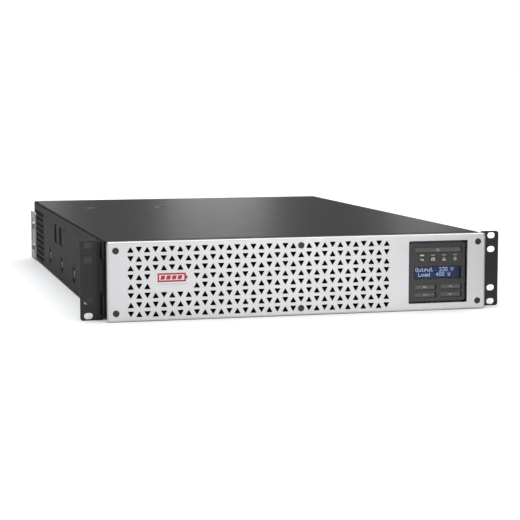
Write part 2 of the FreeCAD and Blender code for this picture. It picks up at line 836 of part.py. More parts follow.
bezel = new_body("bezel_frame")
pad(bezel, "XZ", BEHIND_FASCIA, "frame_depth",
    rect(f"-{frame_half}", frame_low, f"2 * {frame_half}", frame_tall, "fascia_corner"))
pocket(bezel, "XZ", f"{BEHIND_FASCIA} - 1", "frame_depth + 2",
       rect(f"frame_side - {frame_half}", f"{frame_low} + frame_wall", f"2 * ({frame_half} - frame_side)",
            f"{frame_tall} - 2 * frame_wall", "2"))
for x, z in FASCIA_SCREWS:
    pad(bezel, "XZ", f"{BEHIND_FASCIA} + 2.4", "frame_depth - 2.4", disc(x, z, "boss_radius"))
for z in (f"{frame_low} + 1", f"{frame_low} + {frame_tall} - 7"):
    pad(bezel, "XZ", f"{BEHIND_FASCIA} + 2.4", "frame_depth - 2.4",
        rect("middle_screw_x - boss_radius", z, "2 * boss_radius", "6"))
pad(bezel, "XZ", f"{BEHIND_FASCIA}", "frame_depth",
    rect("rib_left", f"{frame_low} + 1", "rib_thickness", f"{frame_tall} - 2"))
pocket(bezel, "XZ", f"{BEHIND_FASCIA} - 1", "frame_depth + 2",
       *[disc(x, z, "screw_clearance") for x, z in FASCIA_SCREWS])
for sign in SIDES.values():
    outside = f"{sign} * {frame_half}"
    left = outside if sign < 0 else f"{outside} - frame_step"
    low = f"{frame_low} - 1"
    pocket(bezel, "XY", low, f"{frame_tall} + 2",
           rect(f"{left} + {sign}", f"{BEHIND_FASCIA} - 1", "frame_step", "1 + frame_shadow_gap"))
    pocket(bezel, "XY", low, f"{frame_tall} + 2",
           rect(f"{left} + {sign}", f"{BEHIND_FASCIA} + frame_shadow_gap + frame_band_depth", "frame_step",
                "frame_depth"))

mesh = new_body("air_filter")
pad(mesh, "XZ", f"{BEHIND_FASCIA} + 0.3", "filter_thickness",
    rect("filter_left", f"{frame_low} + frame_wall + gap", "filter_width",
         f"{frame_tall} - 2 * (frame_wall + gap)", "2"))
pocket(mesh, "XZ", f"{BEHIND_FASCIA} - 1", "6",
       *[disc("middle_screw_x", z, "3.6") for z in ("middle_screw_low", "middle_screw_high")])


# ---------------------------------------------------------------- display module
FACE_Y = f"({FRONT_Y} + face_recess)"
MODULE_BACK = f"({FACE_Y} + module_depth)"
KEYS = {
    "power_button": ("power_x", "power_z", "slot_width_power"),
    "back_button": ("key_left_x", "key_upper_z", "slot_width_key"),
    "up_button": ("key_right_x", "key_upper_z", "slot_width_key"),
    "enter_button": ("key_left_x", "key_lower_z", "slot_width_key"),
    "down_button": ("key_right_x", "key_lower_z", "slot_width_key"),
}
LED_X = [f"led_first_x + {k} * led_pitch" for k in range(4)]

housing = new_body("display_housing")
pad(housing, "XZ", FACE_Y, "module_depth",
    rect("face_left", "face_bottom", "face_width", "face_height", "face_corner"))
pad(housing, "XZ", f"{MODULE_BACK} - module_flange_thickness", "module_flange_thickness",
    rect("face_left - module_flange", "face_bottom - module_flange", "face_width + 2 * module_flange - 1",
         "face_height + 2 * module_flange", "1"))
pocket(housing, "XZ", f"{FACE_Y} + face_thickness", "module_depth",
       rect("face_left + face_thickness", "face_bottom + face_thickness", "face_width - 2 * face_thickness",
            "face_height - 2 * face_thickness"))
pocket(housing, "XZ", f"{FACE_Y} - 1", "face_thickness + 2",
       *[centred(x, z, width, "slot_height", "0.6") for x, z, width in KEYS.values()],
       *[centred(x, "led_z", "led_width + 0.1", "led_height + 0.1") for x in LED_X],
       rect("lens_left", "lens_bottom", "lens_width", "lens_height", "0.8"))

for label, (x, z, width) in KEYS.items():
    button = new_body(label)
    cap_y = f"({FACE_Y} + button_recess)"
    flange_y = f"({cap_y} + button_cap_depth)"
    pad(button, "XZ", cap_y, "button_cap_depth",
        centred(x, z, f"{width} - 2 * button_clearance", "slot_height - 2 * button_clearance", "0.5"))
    pad(button, "XZ", flange_y, "button_flange_depth",
        centred(x, z, f"{width} + 2 * button_flange", "slot_height + 2 * button_flange"))
    stem_end = f"({MODULE_BACK} - switch_height - button_travel_room)"
    pad(button, "XZ", f"{flange_y} + button_flange_depth", f"{stem_end} - {flange_y} - button_flange_depth",
        disc(x, z, "button_stem"))

lens = new_body("display_lens")
pad(lens, "XZ", FACE_Y, "lens_thickness",
    rect("lens_left + 0.1", "lens_bottom + 0.1", "lens_width - 0.2", "lens_height - 0.2", "0.7"))
lcd = new_body("lcd_panel")
pad(lcd, "XZ", f"{FACE_Y} + face_thickness + 0.1", "lcd_depth",
    rect("lens_left - 1.8", "lens_bottom - 2", "lens_width + 3.6", "lens_height + 4", "0.5"))
pipes = new_body("status_light_pipes")
pad(pipes, "XZ", FACE_Y, "module_depth - 0.5",
    *[centred(x, "led_z", "led_width", "led_height") for x in LED_X])
board = new_body("display_board")
pad(board, "XZ", f"{MODULE_BACK} + 0.1", "board",
    rect("face_left + 0.5", "face_bottom + 0.5", "face_width - 1", "face_height - 1", "1"))
switches = new_body("button_switches")
pad(switches, "XZ", f"{MODULE_BACK} + 0.1 - switch_height", "switch_height",
    *[centred(x, z, "switch_size", "switch_size") for x, z, width in KEYS.values()])


# ---------------------------------------------------------------- rack ears and rear brackets
def mirrored_x(sign, near, far):
    """The lower end of a span given by its distances from the middle plane."""
    return near if sign > 0 else f"-({far})"


EAR_INNER = "(body_width / 2 + 0.1)"
for side, sign in SIDES.items():
    ear = new_body(f"rack_ear_{side}")
    edge = "rack_width / 2"
    start = mirrored_x(sign, EAR_INNER, edge)
    pad(ear, "XZ", EAR_Y, "ear_thickness",
        rect(start, "0", f"{edge} - {EAR_INNER}", "body_height", "ear_corner"))
    flange_start = mirrored_x(sign, EAR_INNER, f"{EAR_INNER} + ear_thickness")
    pad(ear, "YZ", flange_start, "ear_thickness",
        rect(f"{EAR_Y}", "ear_corner", "ear_flange_depth", "body_height - 2 * ear_corner", "1.5"))
    slots = [slot(f"{sign} * rack_hole_spacing / 2", f"rack_pattern_z + {up} * {spacing} / 2",
                  "rack_slot_length", "rack_slot_height")
             for up in (-1, 1) for spacing in ("rack_inner_spacing", "rack_outer_spacing")]
    pocket(ear, "XZ", f"{EAR_Y} - 1", "ear_thickness + 2", *slots)
    relief_start = mirrored_x(sign, f"{EAR_INNER} - 1", f"{EAR_INNER} + ear_relief")
    for level in ("upper", "lower"):
        pocket(ear, "XZ", f"{EAR_Y} - 1", "ear_relief_depth + 1",
               rect(relief_start, f"ear_relief_{level}", "ear_relief + 1", f"ear_relief_{level}_height"))
    slit_start = mirrored_x(sign, f"{EAR_INNER} + ear_slit_offset",
                            f"{EAR_INNER} + ear_slit_offset + ear_slit_width")
    pocket(ear, "XZ", f"{EAR_Y} - 1", "ear_thickness + 1.4",
           rect(slit_start, "ear_slit_bottom", "ear_slit_width", "ear_slit_height"))
    pocket(ear, "YZ", f"{flange_start} - 1", "ear_thickness + 2",
           *[disc(f"{EAR_Y} + {y}", z, "ear_screw_shank + 0.1")
             for y in ("ear_screw_front", "ear_screw_back") for z in ("ear_screw_low", "ear_screw_high")])

fasteners("rack_ear_screws", ear_screw, [
    (f"{sign} * ({EAR_INNER} + ear_thickness + 1.3)", f"{EAR_Y} + {y}", z, "+X" if sign > 0 else "-X")
    for sign in SIDES.values() for y in ("ear_screw_front", "ear_screw_back")
    for z in ("ear_screw_low", "ear_screw_high")])

for side, sign in SIDES.items():
    bracket = new_body(f"rear_bracket_{side}")
    start = mirrored_x(sign, EAR_INNER, f"{EAR_INNER} + bracket_thickness")
    pad(bracket, "YZ", start, "bracket_thickness",
        rect(f"{EAR_Y} + bracket_start", "0", "chassis_depth + bracket_reach - bracket_start",
             "bracket_height", "bracket_corner"))
    pocket(bracket, "YZ", f"{start} - 1", "bracket_thickness + 2",
           rect(f"{EAR_Y} + bracket_window_start", "bracket_window_low", "bracket_window_length",
                "bracket_window_high - bracket_window_low", "2"),
           *[disc(f"{EAR_Y} + bracket_screw_y", z, "seat_screw_radius + 0.1")
             for z in ("bracket_screw_low", "bracket_screw_high")],
           disc(f"{EAR_Y} + chassis_depth + 4", "bracket_height - 4.5", "1.8"))

fasteners("rear_bracket_screws", bracket_screw, [
    (f"{sign} * ({EAR_INNER} + bracket_thickness + 2.8)", f"{EAR_Y} + bracket_screw_y", z,
     "+X" if sign > 0 else "-X")
    for sign in SIDES.values() for z in ("bracket_screw_low", "bracket_screw_high")])


# ---------------------------------------------------------------- rear panel
FANS = {"left": "fan_left_x", "right": "fan_right_x"}
PANEL_IN = f"({REAR_Y} - sheet)"
BANKS = {"outlet_bank_upper": "bank_upper_z", "outlet_bank_lower": "bank_lower_z"}
BREAKERS = {"left": "breaker_left_x", "right": "breaker_right_x"}
JACKS = ("port_left_x", "port_middle_x")
PORTS = (*JACKS, "port_right_x")
CARD_SCREWS = ("card_x - card_width / 2 + card_screw_inset", "card_x + card_width / 2 - card_screw_inset")
FAN_CORNERS = [(across, up) for across in (-1, 1) for up in (-1, 1)]


def fan_holes(x):
    """The outlines of the four screw holes of the fan whose axis is at x."""
    return [disc(f"{x} + {across} * fan_hole_spacing / 2", f"fan_z + {up} * fan_hole_spacing / 2", "fan_hole")
            for across, up in FAN_CORNERS]


rear = new_body("rear_panel")
pad(rear, "XZ", PANEL_IN, "sheet",
    rect("sheet + panel_clearance - body_width / 2", "sheet + 0.1",
         "body_width - 2 * (sheet + panel_clearance)",
         "body_height - 2 * sheet - 0.1 - panel_clearance", "1"))
pad(rear, "XY", "sheet + 0.1", "sheet",
    rect("12 - body_width / 2", f"{REAR_Y} - panel_flange", "body_width - 24", "panel_flange"))
for z in BANKS.values():
    pocket(rear, "XZ", f"{PANEL_IN} - 0.5", "sheet + 1.5",
           centred("bank_x", z, "bank_width + 0.4", "bank_height + 0.4", "1"),
           centred("power_column_x", z, "large_width + 0.4", "large_height + 0.4", "1"))
pocket(rear, "XZ", f"{PANEL_IN} - 0.5", "sheet + 1.5",
       *[centred(x, "port_z", "port_width + 0.4", "port_height + 0.4") for x in PORTS],
       centred("terminal_x", "breaker_z", "terminal_width + 0.4", "terminal_height + 0.4"),
       centred("card_x", "card_z", "card_width - 10", "card_height - 6", "1"))
pocket(rear, "XZ", f"{PANEL_IN} - 0.5", "sheet + 1.5",
       *[disc(x, "breaker_z", "breaker_radius + 0.1") for x in BREAKERS.values()],
       *[disc(x, "card_z", "1.6") for x in CARD_SCREWS],
       disc("ground_x", "ground_z", "seat_screw_radius + 0.1"))
for x in FANS.values():
    pocket(rear, "XZ", f"{PANEL_IN} - 0.5", "sheet + 1.5", disc(x, "fan_z", "fan_opening"),
           *fan_holes(x))


# ---------------------------------------------------------------- fans
def make_fan(side, x):
    fan_y = f"({PANEL_IN} - fan_depth)"
    frame = new_body(f"fan_frame_{side}")
    pad(frame, "XZ", fan_y, "fan_depth", centred(x, "fan_z", "fan_size", "fan_size", "4"))
    pocket(frame, "XZ", f"{fan_y} - 1", "fan_depth + 2", disc(x, "fan_z", "fan_opening"))
    strut_y = f"({PANEL_IN} - fan_strut)"
    pad(frame, "XZ", strut_y, "fan_strut", centred(x, "fan_z", "2 * fan_opening + 1", "fan_strut_width"))
    pad(frame, "XZ", strut_y, "fan_strut", centred(x, "fan_z", "fan_strut_width", "2 * fan_opening + 1"))
    pad(frame, "XZ", strut_y, "fan_strut", disc(x, "fan_z", "fan_hub"))
    pad(frame, "XZ", f"{fan_y} + 6", "fan_depth - 7", disc(x, "fan_z", "fan_boss"))
    pocket(frame, "XZ", f"{fan_y} + 5", "fan_depth - 8", disc(x, "fan_z", "fan_bearing"))
    pocket(frame, "XZ", f"{fan_y} - 1", "fan_depth + 2",
           *fan_holes(x))

    cup = rod("+Y", x, f"{fan_y} + fan_cup_start", "fan_z", "fan_hub", "fan_cup_depth")
    hollow = rod("+Y", x, f"{fan_y} + fan_cup_start + fan_cup_wall", "fan_z", "fan_hub - fan_cup_wall",
                 "fan_cup_depth + 1")
    shaft = rod("+Y", x, f"{fan_y} + 2 * fan_cup_start", "fan_z", "fan_shaft", "fan_shaft_length")
    blades = []
    count = int(value("fan_blades"))
    middle = f"{fan_y} + fan_cup_start + fan_cup_depth / 2"
    for k in range(count):
        blade = doc.addObject("Part::Box", "Blade")
        blade.setExpression("Length", bound("fan_blade_thickness"))
        blade.setExpression("Width", bound("fan_cup_depth"))
        blade.setExpression("Height", bound("fan_blade_span"))
        spin = FreeCAD.Rotation(V(0, 1, 0), 360 * k / count)
        lean = FreeCAD.Rotation(V(0, 0, 1), value("fan_blade_lean"))
        blade.Placement = FreeCAD.Placement(V(), spin.multiply(lean), V(0, 0, 0))
        corner = V(value("-fan_blade_thickness / 2"), value("-fan_cup_depth / 2"), value("fan_hub - 0.8"))
        offset = spin.multVec(lean.multVec(corner))
        place(blade, f"{x} + {offset.x}", f"{middle} + {offset.y}", f"fan_z + {offset.z}")
        blades.append(blade)
    tip = rod("+Y", x, f"{middle} - fan_sweep / 2", "fan_z", "fan_tip", "fan_sweep")
    swept = doc.addObject("Part::MultiCommon", "Swept")
    swept.Shapes = [fuse(blades), tip]
    cored = cut(swept, [rod("+Y", x, fan_y, "fan_z", "fan_hub - 1", "fan_depth")])
    rotor = fuse([cut(cup, [hollow]), shaft, cored])
    keep(rotor, f"fan_rotor_{side}")

    wire_y = f"({REAR_Y} + guard_wire)"
    wires = [ring("+Y", x, wire_y, "fan_z", radius, "guard_wire") for radius in (11, 19, 27, 35)]
    for across, up in FAN_CORNERS:
        arm = doc.addObject("Part::Cylinder", "Arm")
        arm.setExpression("Radius", bound("guard_wire"))
        arm.setExpression("Height", bound("fan_hole_spacing / 2 * 1.4142 - 14"))
        direction = V(across, 0, up)
        turn = FreeCAD.Rotation(V(0, 0, 1), direction)
        arm.Placement = FreeCAD.Placement(V(), turn)
        place(arm, f"{x} + {across} * 11 * 0.7071", wire_y, f"fan_z + {up} * 11 * 0.7071")
        wires.append(arm)
        wires.append(ring("+Y", f"{x} + {across} * fan_hole_spacing / 2", wire_y,
                          f"fan_z + {up} * fan_hole_spacing / 2", "3", "guard_wire"))
    return fuse(wires)


keep(group([make_fan(side, x) for side, x in FANS.items()]), "fan_guards")
fasteners("fan_screws", fan_screw, [
    (f"{x} + {across} * fan_hole_spacing / 2", f"{REAR_Y} + 2 * guard_wire + 1.8",
     f"fan_z + {up} * fan_hole_spacing / 2", "+Y")
    for x in FANS.values() for across, up in FAN_CORNERS])


# ---------------------------------------------------------------- sockets and inlet
def socket_outline(x, z, width, height, chamfer):
    """A rectangle whose two upper corners are cut off."""
    left, right = f"{x} - ({width}) / 2", f"{x} + ({width}) / 2"
    low, high = f"{z} - ({height}) / 2", f"{z} + ({height}) / 2"
    return polygon([(left, low), (right, low),
                    (right, f"{high} - ({chamfer})"), (f"{right} - ({chamfer})", high),
                    (f"{left} + ({chamfer})", high), (left, f"{high} - ({chamfer})")])


def make_flanged(label, x, z, width, height, depth):
    """A panel-mounted body with a lip outside the panel."""
    body = new_body(label)
    pad(body, "XZ", f"{REAR_Y} - ({depth})", depth, centred(x, z, width, height, "0.8"))
    pad(body, "XZ", REAR_Y, "lip_thickness",
        centred(x, z, f"{width} + 2 * lip", f"{height} + 2 * lip", "1.5"))
    return body


OUTLET_FACE = f"({REAR_Y} + lip_thickness)"
for label, z in BANKS.items():
    bank = make_flanged(label, "bank_x", z, "bank_width", "bank_height", "bank_depth")
    shapes, holes = [], []
    for k in range(4):
        x = f"bank_x + ({k} - 1.5) * bank_pitch"
        shapes.append(socket_outline(x, z, "socket_width", "socket_height", "socket_chamfer"))
        shapes.append(socket_outline(x, z, "socket_width - 2 * socket_groove",
                                     "socket_height - 2 * socket_groove", "socket_chamfer - 1.2"))
        holes += [centred(f"{x} + {across} * contact_spacing / 2", f"{z} - {down}", "contact_width",
                          "contact_height") for across, down in ((-1, 1.6), (1, 1.6), (0, -2.4))]
    pocket(bank, "XZ", f"{OUTLET_FACE} - socket_depth", "socket_depth + 1", *shapes)
    pocket(bank, "XZ", f"{OUTLET_FACE} - socket_depth", "socket_depth + 1", *holes)

large = make_flanged("large_outlet", "power_column_x", "bank_upper_z",
                     "large_width", "large_height", "bank_depth")
pocket(large, "XZ", f"{OUTLET_FACE} - socket_depth", "socket_depth + 1",
       centred("power_column_x", "bank_upper_z", "large_opening_width", "large_opening_height", "2.5"),
       centred("power_column_x", "bank_upper_z", "large_opening_width - 2 * socket_groove",
               "large_opening_height - 2 * socket_groove", "1.5"))


def contacts(z, margin):
    """The outlines of three flat contacts round z, each wider and thicker than a blade by margin."""
    return [centred(f"power_column_x + {across} * blade_spacing / 2", f"{z} + {up}",
                    f"blade_width + {margin}", f"blade_thickness + {margin}")
            for across, up in ((-1, -3), (1, -3), (0, 4))]


pocket(large, "XZ", f"{OUTLET_FACE} - socket_depth", "socket_depth + 1", *contacts("bank_upper_z", 0.6))

inlet = make_flanged("power_inlet", "power_column_x", "bank_lower_z",
                     "large_width", "large_height", "bank_depth")
pocket(inlet, "XZ", f"{OUTLET_FACE} - socket_depth", "socket_depth + 1",
       centred("power_column_x", "bank_lower_z", "large_opening_width", "large_opening_height", "2.5"))
pocket(inlet, "XZ", f"{OUTLET_FACE} - bank_depth - 3", "8", *contacts("bank_lower_z", 0.1))
pins = new_body("inlet_pins")
pad(pins, "XZ", f"{OUTLET_FACE} - bank_depth - 10", "bank_depth + 6", *contacts("bank_lower_z", 0))


# ---------------------------------------------------------------- breakers, card slot and ports
breakers = new_body("circuit_breakers")
for side, x in BREAKERS.items():
    pad(breakers, "XZ", f"{REAR_Y} - breaker_depth", "breaker_depth - sheet - 0.1",
        centred(x, "breaker_z", "breaker_case_width", "breaker_case_height", "1"))
    pad(breakers, "XZ", f"{REAR_Y} - sheet - 0.1", "sheet + 0.1 + breaker_collar",
        disc(x, "breaker_z", "breaker_radius"))
    pad(breakers, "XZ", REAR_Y, "breaker_nut", hexagon(x, "breaker_z", "breaker_radius + breaker_nut_margin"))
    pocket(breakers, "XZ", f"{REAR_Y} - breaker_cavity", "2 * breaker_cavity",
           disc(x, "breaker_z", "breaker_button + breaker_play"))
for side, x in BREAKERS.items():
    reset = new_body(f"breaker_button_{side}")
    pad(reset, "XZ", f"{REAR_Y} - breaker_button_inside", "breaker_button_length",
        disc(x, "breaker_z", "breaker_button"))

card = new_body("accessory_cover")
pad(card, "XZ", REAR_Y, "card_plate", centred("card_x", "card_z", "card_width", "card_height", "1"))
pad(card, "XZ", f"{REAR_Y} - card_tongue_depth", "card_tongue_depth",
    rect("card_x - card_width / 2 + card_tongue_inset", "card_z - card_height / 2 + card_tongue_rise",
         "card_width - 2 * card_tongue_inset", "sheet"))
pocket(card, "XZ", f"{REAR_Y} - 1", "card_plate + 2", *[disc(x, "card_z", "1.6") for x in CARD_SCREWS])
rear_screws = [(x, f"{REAR_Y} + card_plate + panel_screw_thickness", "card_z", "+Y") for x in CARD_SCREWS]
rear_screws.append(("ground_x", f"{REAR_Y} + panel_screw_thickness", "ground_z", "+Y"))
fasteners("rear_panel_screws", panel_screw, rear_screws)

ports = new_body("data_ports")
for x in PORTS:
    pad(ports, "XZ", f"{REAR_Y} - port_depth", "port_depth + port_lip",
        centred(x, "port_z", "port_width", "port_height", "0.4"))
cavity_y = f"{REAR_Y} - port_cavity"
for x in JACKS:
    pocket(ports, "XZ", cavity_y, "port_cavity + 2", centred(x, "port_z", "jack_width", "jack_height"))
    pocket(ports, "XZ", cavity_y, "port_cavity + 2",
           centred(x, "port_z - jack_notch_drop", "jack_notch_width", "jack_notch_height"))
pocket(ports, "XZ", cavity_y, "port_cavity + 2",
       centred("port_right_x", "port_z", "usb_width", "usb_height"))
pad(ports, "XZ", f"{cavity_y} - 0.5", "usb_tongue_length",
    centred("port_right_x", "port_z", "usb_tongue_width", "usb_tongue_height"))

terminal = new_body("shutdown_terminal")
pad(terminal, "XZ", f"{REAR_Y} - terminal_depth", "terminal_depth + terminal_lip",
    centred("terminal_x", "breaker_z", "terminal_width", "terminal_height", "0.5"))
pocket(terminal, "XZ", f"{REAR_Y} - terminal_cavity", "terminal_cavity + 2",
       *[centred(f"terminal_x + {across} * terminal_pitch", "breaker_z - 1.6", "terminal_hole_width",
                 "terminal_hole_height") for across in (-1, 0, 1)])


# ---------------------------------------------------------------- battery modules
BATTERIES = {"left": "battery_left_x", "right": "battery_right_x"}
battery_y = f"({EAR_Y} + battery_start)"
first_row_y = f"{battery_y} + battery_wall + cell_radius + 6"
half_columns = "(cell_columns - 1) / 2"
for side, x in BATTERIES.items():
    case = new_body(f"battery_case_{side}")
    pad(case, "XZ", battery_y, "battery_depth",
        rect(f"{x} - battery_width / 2", "sheet + 0.2", "battery_width", "battery_height", "2"))
    pocket(case, "XZ", f"{battery_y} + battery_wall", "battery_depth",
           rect(f"{x} - battery_width / 2 + battery_wall", "sheet + 0.2 + battery_wall",
                "battery_width - 2 * battery_wall", "battery_height - 2 * battery_wall", "1"))
cell_centres = [(value(f"{x} + ({column} - {half_columns}) * cell_pitch"),
                 value(f"{first_row_y} + {cell_row} * cell_pitch"))
                for x in BATTERIES.values() for column in range(int(value("cell_columns")))
                for cell_row in range(int(value("cell_rows")))]
cells = new_body("battery_cells")
pad(cells, "XY", "sheet + battery_wall + 0.7", "cell_height",
    rows_of_discs(cell_centres, value("cell_radius")))
managers = new_body("battery_boards")
manager_y = f"({battery_y} + battery_depth - manager_start)"
pad(managers, "XZ", manager_y, "board",
    *[rect(f"{x} - battery_width / 2 + manager_inset", "manager_inset",
           "battery_width - 2 * manager_inset", "manager_height") for x in BATTERIES.values()])
pad(managers, "XZ", f"{manager_y} + board", "9",
    *[centred(x, "20", "40", "14") for x in BATTERIES.values()])
for x in BATTERIES.values():
    pad(managers, "XZ", f"{manager_y} + board", "3",
        *[centred(f"{x} + {step} * 13", "52", "9", "14") for step in range(-4, 5)])

divider = new_body("battery_divider")
divider_half = f"({flange_x} - sheet - 0.2)"
pad(divider, "XZ", f"{EAR_Y} + divider_start", "sheet",
    rect(f"-{divider_half}", "sheet + 0.1", f"2 * {divider_half}", "80"))
pad(divider, "XY", "sheet + 0.1", "sheet",
    rect(f"6 - {divider_half}", f"{EAR_Y} + divider_start", f"2 * {divider_half} - 12", "10"))
vent_slot = pocket(divider, "XZ", f"{EAR_Y} + divider_start - 1", "sheet + 2",
                   centred("-divider_slot_pitch * 12", "48", "9", "44", "4"))
slots = divider.newObject("PartDesign::LinearPattern", "SlotRow")
slots.Originals = [vent_slot]
slots.Direction = (vent_slot.Profile[0], ["H_Axis"])
slots.setExpression("Length", bound("divider_slot_pitch * 24"))
slots.Occurrences = 25
divider.Tip = slots


# ---------------------------------------------------------------- power electronics
core_left = "(transformer_x - core_width / 2)"
core_y = f"({EAR_Y} + transformer_start)"
core_z = "(body_height / 2 - core_stack / 2)"
core = new_body("transformer_core")
pad(core, "XY", core_z, "core_stack", rect(core_left, core_y, "core_width", "core_length"))
pocket(core, "XY", f"{core_z} - 1", "core_stack + 2",
       *[rect(f"{core_left} + core_leg * {legs}", f"{core_y} + core_leg",
              "core_leg", "core_length - 2 * core_leg") for legs in (1, 4)])
coil = new_body("transformer_winding")
coil_y = f"({core_y} + core_leg + 0.5)"
coil_length = "(core_length - 2 * core_leg - 1)"
pad(coil, "XZ", coil_y, coil_length,
    centred("transformer_x", "body_height / 2", "2 * core_leg + 2 * coil_build * 1.9",
            "core_stack + 2 * coil_build", "8"))
pocket(coil, "XZ", f"{coil_y} - 1", f"{coil_length} + 2",
       centred("transformer_x", "body_height / 2", "2 * core_leg + 0.4", "core_stack + 0.4", "0.5"))
standoffs = [rod("+Z", f"{core_left} + {x}", f"{core_y} + {y}", "sheet", "4", f"{core_z} - sheet")
             for x in ("8", "core_width - 8") for y in ("8", "core_length - 8")]

board_y = f"({EAR_Y} + board_start)"
main = new_body("main_board")
pad(main, "XY", "board_z", "board", rect("board_left", board_y, "board_width", "board_length", "2"))
standoffs += [rod("+Z", f"board_left + {x}", f"{board_y} + {y}", "sheet", "3", "board_z - sheet")
              for x in ("8", "board_width / 2", "board_width - 8")
              for y in ("8", "board_length / 2", "board_length - 8")]
ON_BOARD = "(board_z + board)"

sinks = new_body("heatsinks")
sink_y = f"({EAR_Y} + sink_start)"
fin_step = "(sink_height - sink_fin_thickness) / (sink_fins - 1)"
for x in ("sink_left_x", "sink_right_x"):
    pad(sinks, "XZ", sink_y, "sink_length", rect(x, ON_BOARD, "sink_base", "sink_height"))
    pad(sinks, "XZ", sink_y, "sink_length",
        *[rect(f"{x} + sink_base - 0.5", f"{ON_BOARD} + {k} * {fin_step}", "sink_fin + 0.5",
               "sink_fin_thickness") for k in range(int(value("sink_fins")))])
transistors = [block(f"sink_{side}_x - 5.2", f"{sink_y} + 10 + {k} * transistor_pitch", f"{ON_BOARD} + 14",
                     "5", "15.8", "21") for side in SIDES for k in range(5)]
keep(group(transistors), "power_transistors")

capacitors = [rod("+Z", f"can_left + {column} * can_pitch", f"{sink_y} + (0.5 + {can_row}) * can_pitch",
                  ON_BOARD, "capacitor_radius", "capacitor_height")
              for column in range(3) for can_row in range(4)]
keep(group(capacitors), "bus_capacitors")
chokes = [ring("+Z", f"choke_left + {k} * choke_pitch", f"{EAR_Y} + choke_y", f"{ON_BOARD} + choke_wire",
               "choke_ring", "choke_wire") for k in range(3)]
keep(group(chokes), "filter_chokes")
relays = [block(f"relay_left + {k} * relay_pitch", f"{EAR_Y} + relay_start", ON_BOARD, "29", "13", "20")
          for k in range(4)]
keep(group(relays), "transfer_relays")

control = new_body("control_board")
control_y = f"({EAR_Y} + control_start)"
pad(control, "XY", "control_z", "board",
    rect("control_left", control_y, "control_width", "control_length", "2"))
pad(control, "XY", "control_z + board", "control_chip",
    *[centred(f"control_left + {x}", f"{control_y} + {y}", width, length)
      for x, y, width, length in ((38, 41, "16", "16"), (70, 31, "10", "12"), (70, 61, "20", "8"))])
standoffs += [rod("+Z", f"control_left + {x}", f"{control_y} + {y}", ON_BOARD, "2.5",
                  f"control_z - {ON_BOARD}")
              for x in ("6", "control_width - 6") for y in ("6", "control_length - 6")]
keep(group(standoffs), "board_standoffs")


# ---------------------------------------------------------------- check and export
doc.recompute()
failed = [item.Label for item in doc.Objects if {"Invalid", "Error"} & set(item.State)]
for node in nodes:
    if node.Shape.isNull() or not node.Shape.isValid() or not node.Shape.Solids:
        failed.append(node.Label)
if failed:
    raise RuntimeError("these objects failed: " + ", ".join(sorted(set(failed))))
if len({node.Label for node in nodes}) != len(nodes):
    raise RuntimeError("two sub-parts share a label")

os.makedirs("parts", exist_ok=True)
for node in nodes:
    node.Shape.exportStep(f"parts/{node.Label}.step")
    print(f"{node.Label}: {len(node.Shape.Solids)} solids, {node.Shape.Volume / 1000:.1f} cm3")
print(len(nodes), "sub-parts")
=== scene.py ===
"""Looks of the rack-mounted uninterruptible power supply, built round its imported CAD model.

Places are in metres in the model's own frame: +X to the right seen from the front, +Y towards
the back, +Z up, and the surface that the unit stands on at z = 0.
"""
import json
import math

import bmesh
import bpy
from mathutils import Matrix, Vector


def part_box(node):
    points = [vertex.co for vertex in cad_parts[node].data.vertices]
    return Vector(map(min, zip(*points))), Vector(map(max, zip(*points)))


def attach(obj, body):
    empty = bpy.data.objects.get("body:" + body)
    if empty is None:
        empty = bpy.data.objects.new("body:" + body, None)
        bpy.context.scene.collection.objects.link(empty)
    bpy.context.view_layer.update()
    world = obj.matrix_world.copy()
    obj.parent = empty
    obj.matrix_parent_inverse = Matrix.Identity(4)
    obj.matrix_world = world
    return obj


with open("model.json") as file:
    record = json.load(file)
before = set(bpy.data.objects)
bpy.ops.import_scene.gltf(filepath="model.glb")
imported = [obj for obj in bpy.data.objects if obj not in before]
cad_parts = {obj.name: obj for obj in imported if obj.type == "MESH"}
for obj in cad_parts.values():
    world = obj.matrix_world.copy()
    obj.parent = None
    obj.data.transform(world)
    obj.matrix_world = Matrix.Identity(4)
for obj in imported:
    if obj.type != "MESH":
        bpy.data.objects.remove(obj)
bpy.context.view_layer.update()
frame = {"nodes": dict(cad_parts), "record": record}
nodes = frame["nodes"]
MM = 0.001

# camera, at the photograph's viewing angle
CAMERA_PLACE = (-0.4709, -1.92545, 0.2393)
CAMERA_DOWN = 6.166
CAMERA_ACROSS = 14.986
CAMERA_LENS = 104.81

# studio: the dome's brightness near the horizon and overhead, and the elevations between
DOME_LOW = 0.03
DOME_HIGH = 2.3
DOME_START = 24
DOME_FULL = 62
FLOOR_BOUNCE = (0.24, 0.24, 0.24)
CARD_BOUNCE = (0.9, 0.9, 0.9)
CARD_EDGE = (0.16, 0.42)
STRIP_DISTANCE = 5.0
STRIP_HEIGHT = 0.45
STRIP_LENGTH = 0.7

# paints and plastics, as linear colours
STEEL_BLACK = (0.012, 0.012, 0.0124)
SILVER = (0.54, 0.54, 0.545)
PLASTIC_BLACK = (0.010, 0.010, 0.0105)
DISPLAY_GREY = (0.012, 0.012, 0.0124)
KEY_GREY = (0.085, 0.085, 0.087)
PRINT_WHITE = (0.62, 0.62, 0.62)
MARK_RED = (0.38, 0.007, 0.026)
LCD_BLUE = (0.006, 0.022, 0.115)
LCD_LETTER = (0.62, 0.76, 1.0)
LIT_GREEN = (0.22, 0.46, 0.08)

# width of the front plate's rim, outside its holes
RIM = 0.004

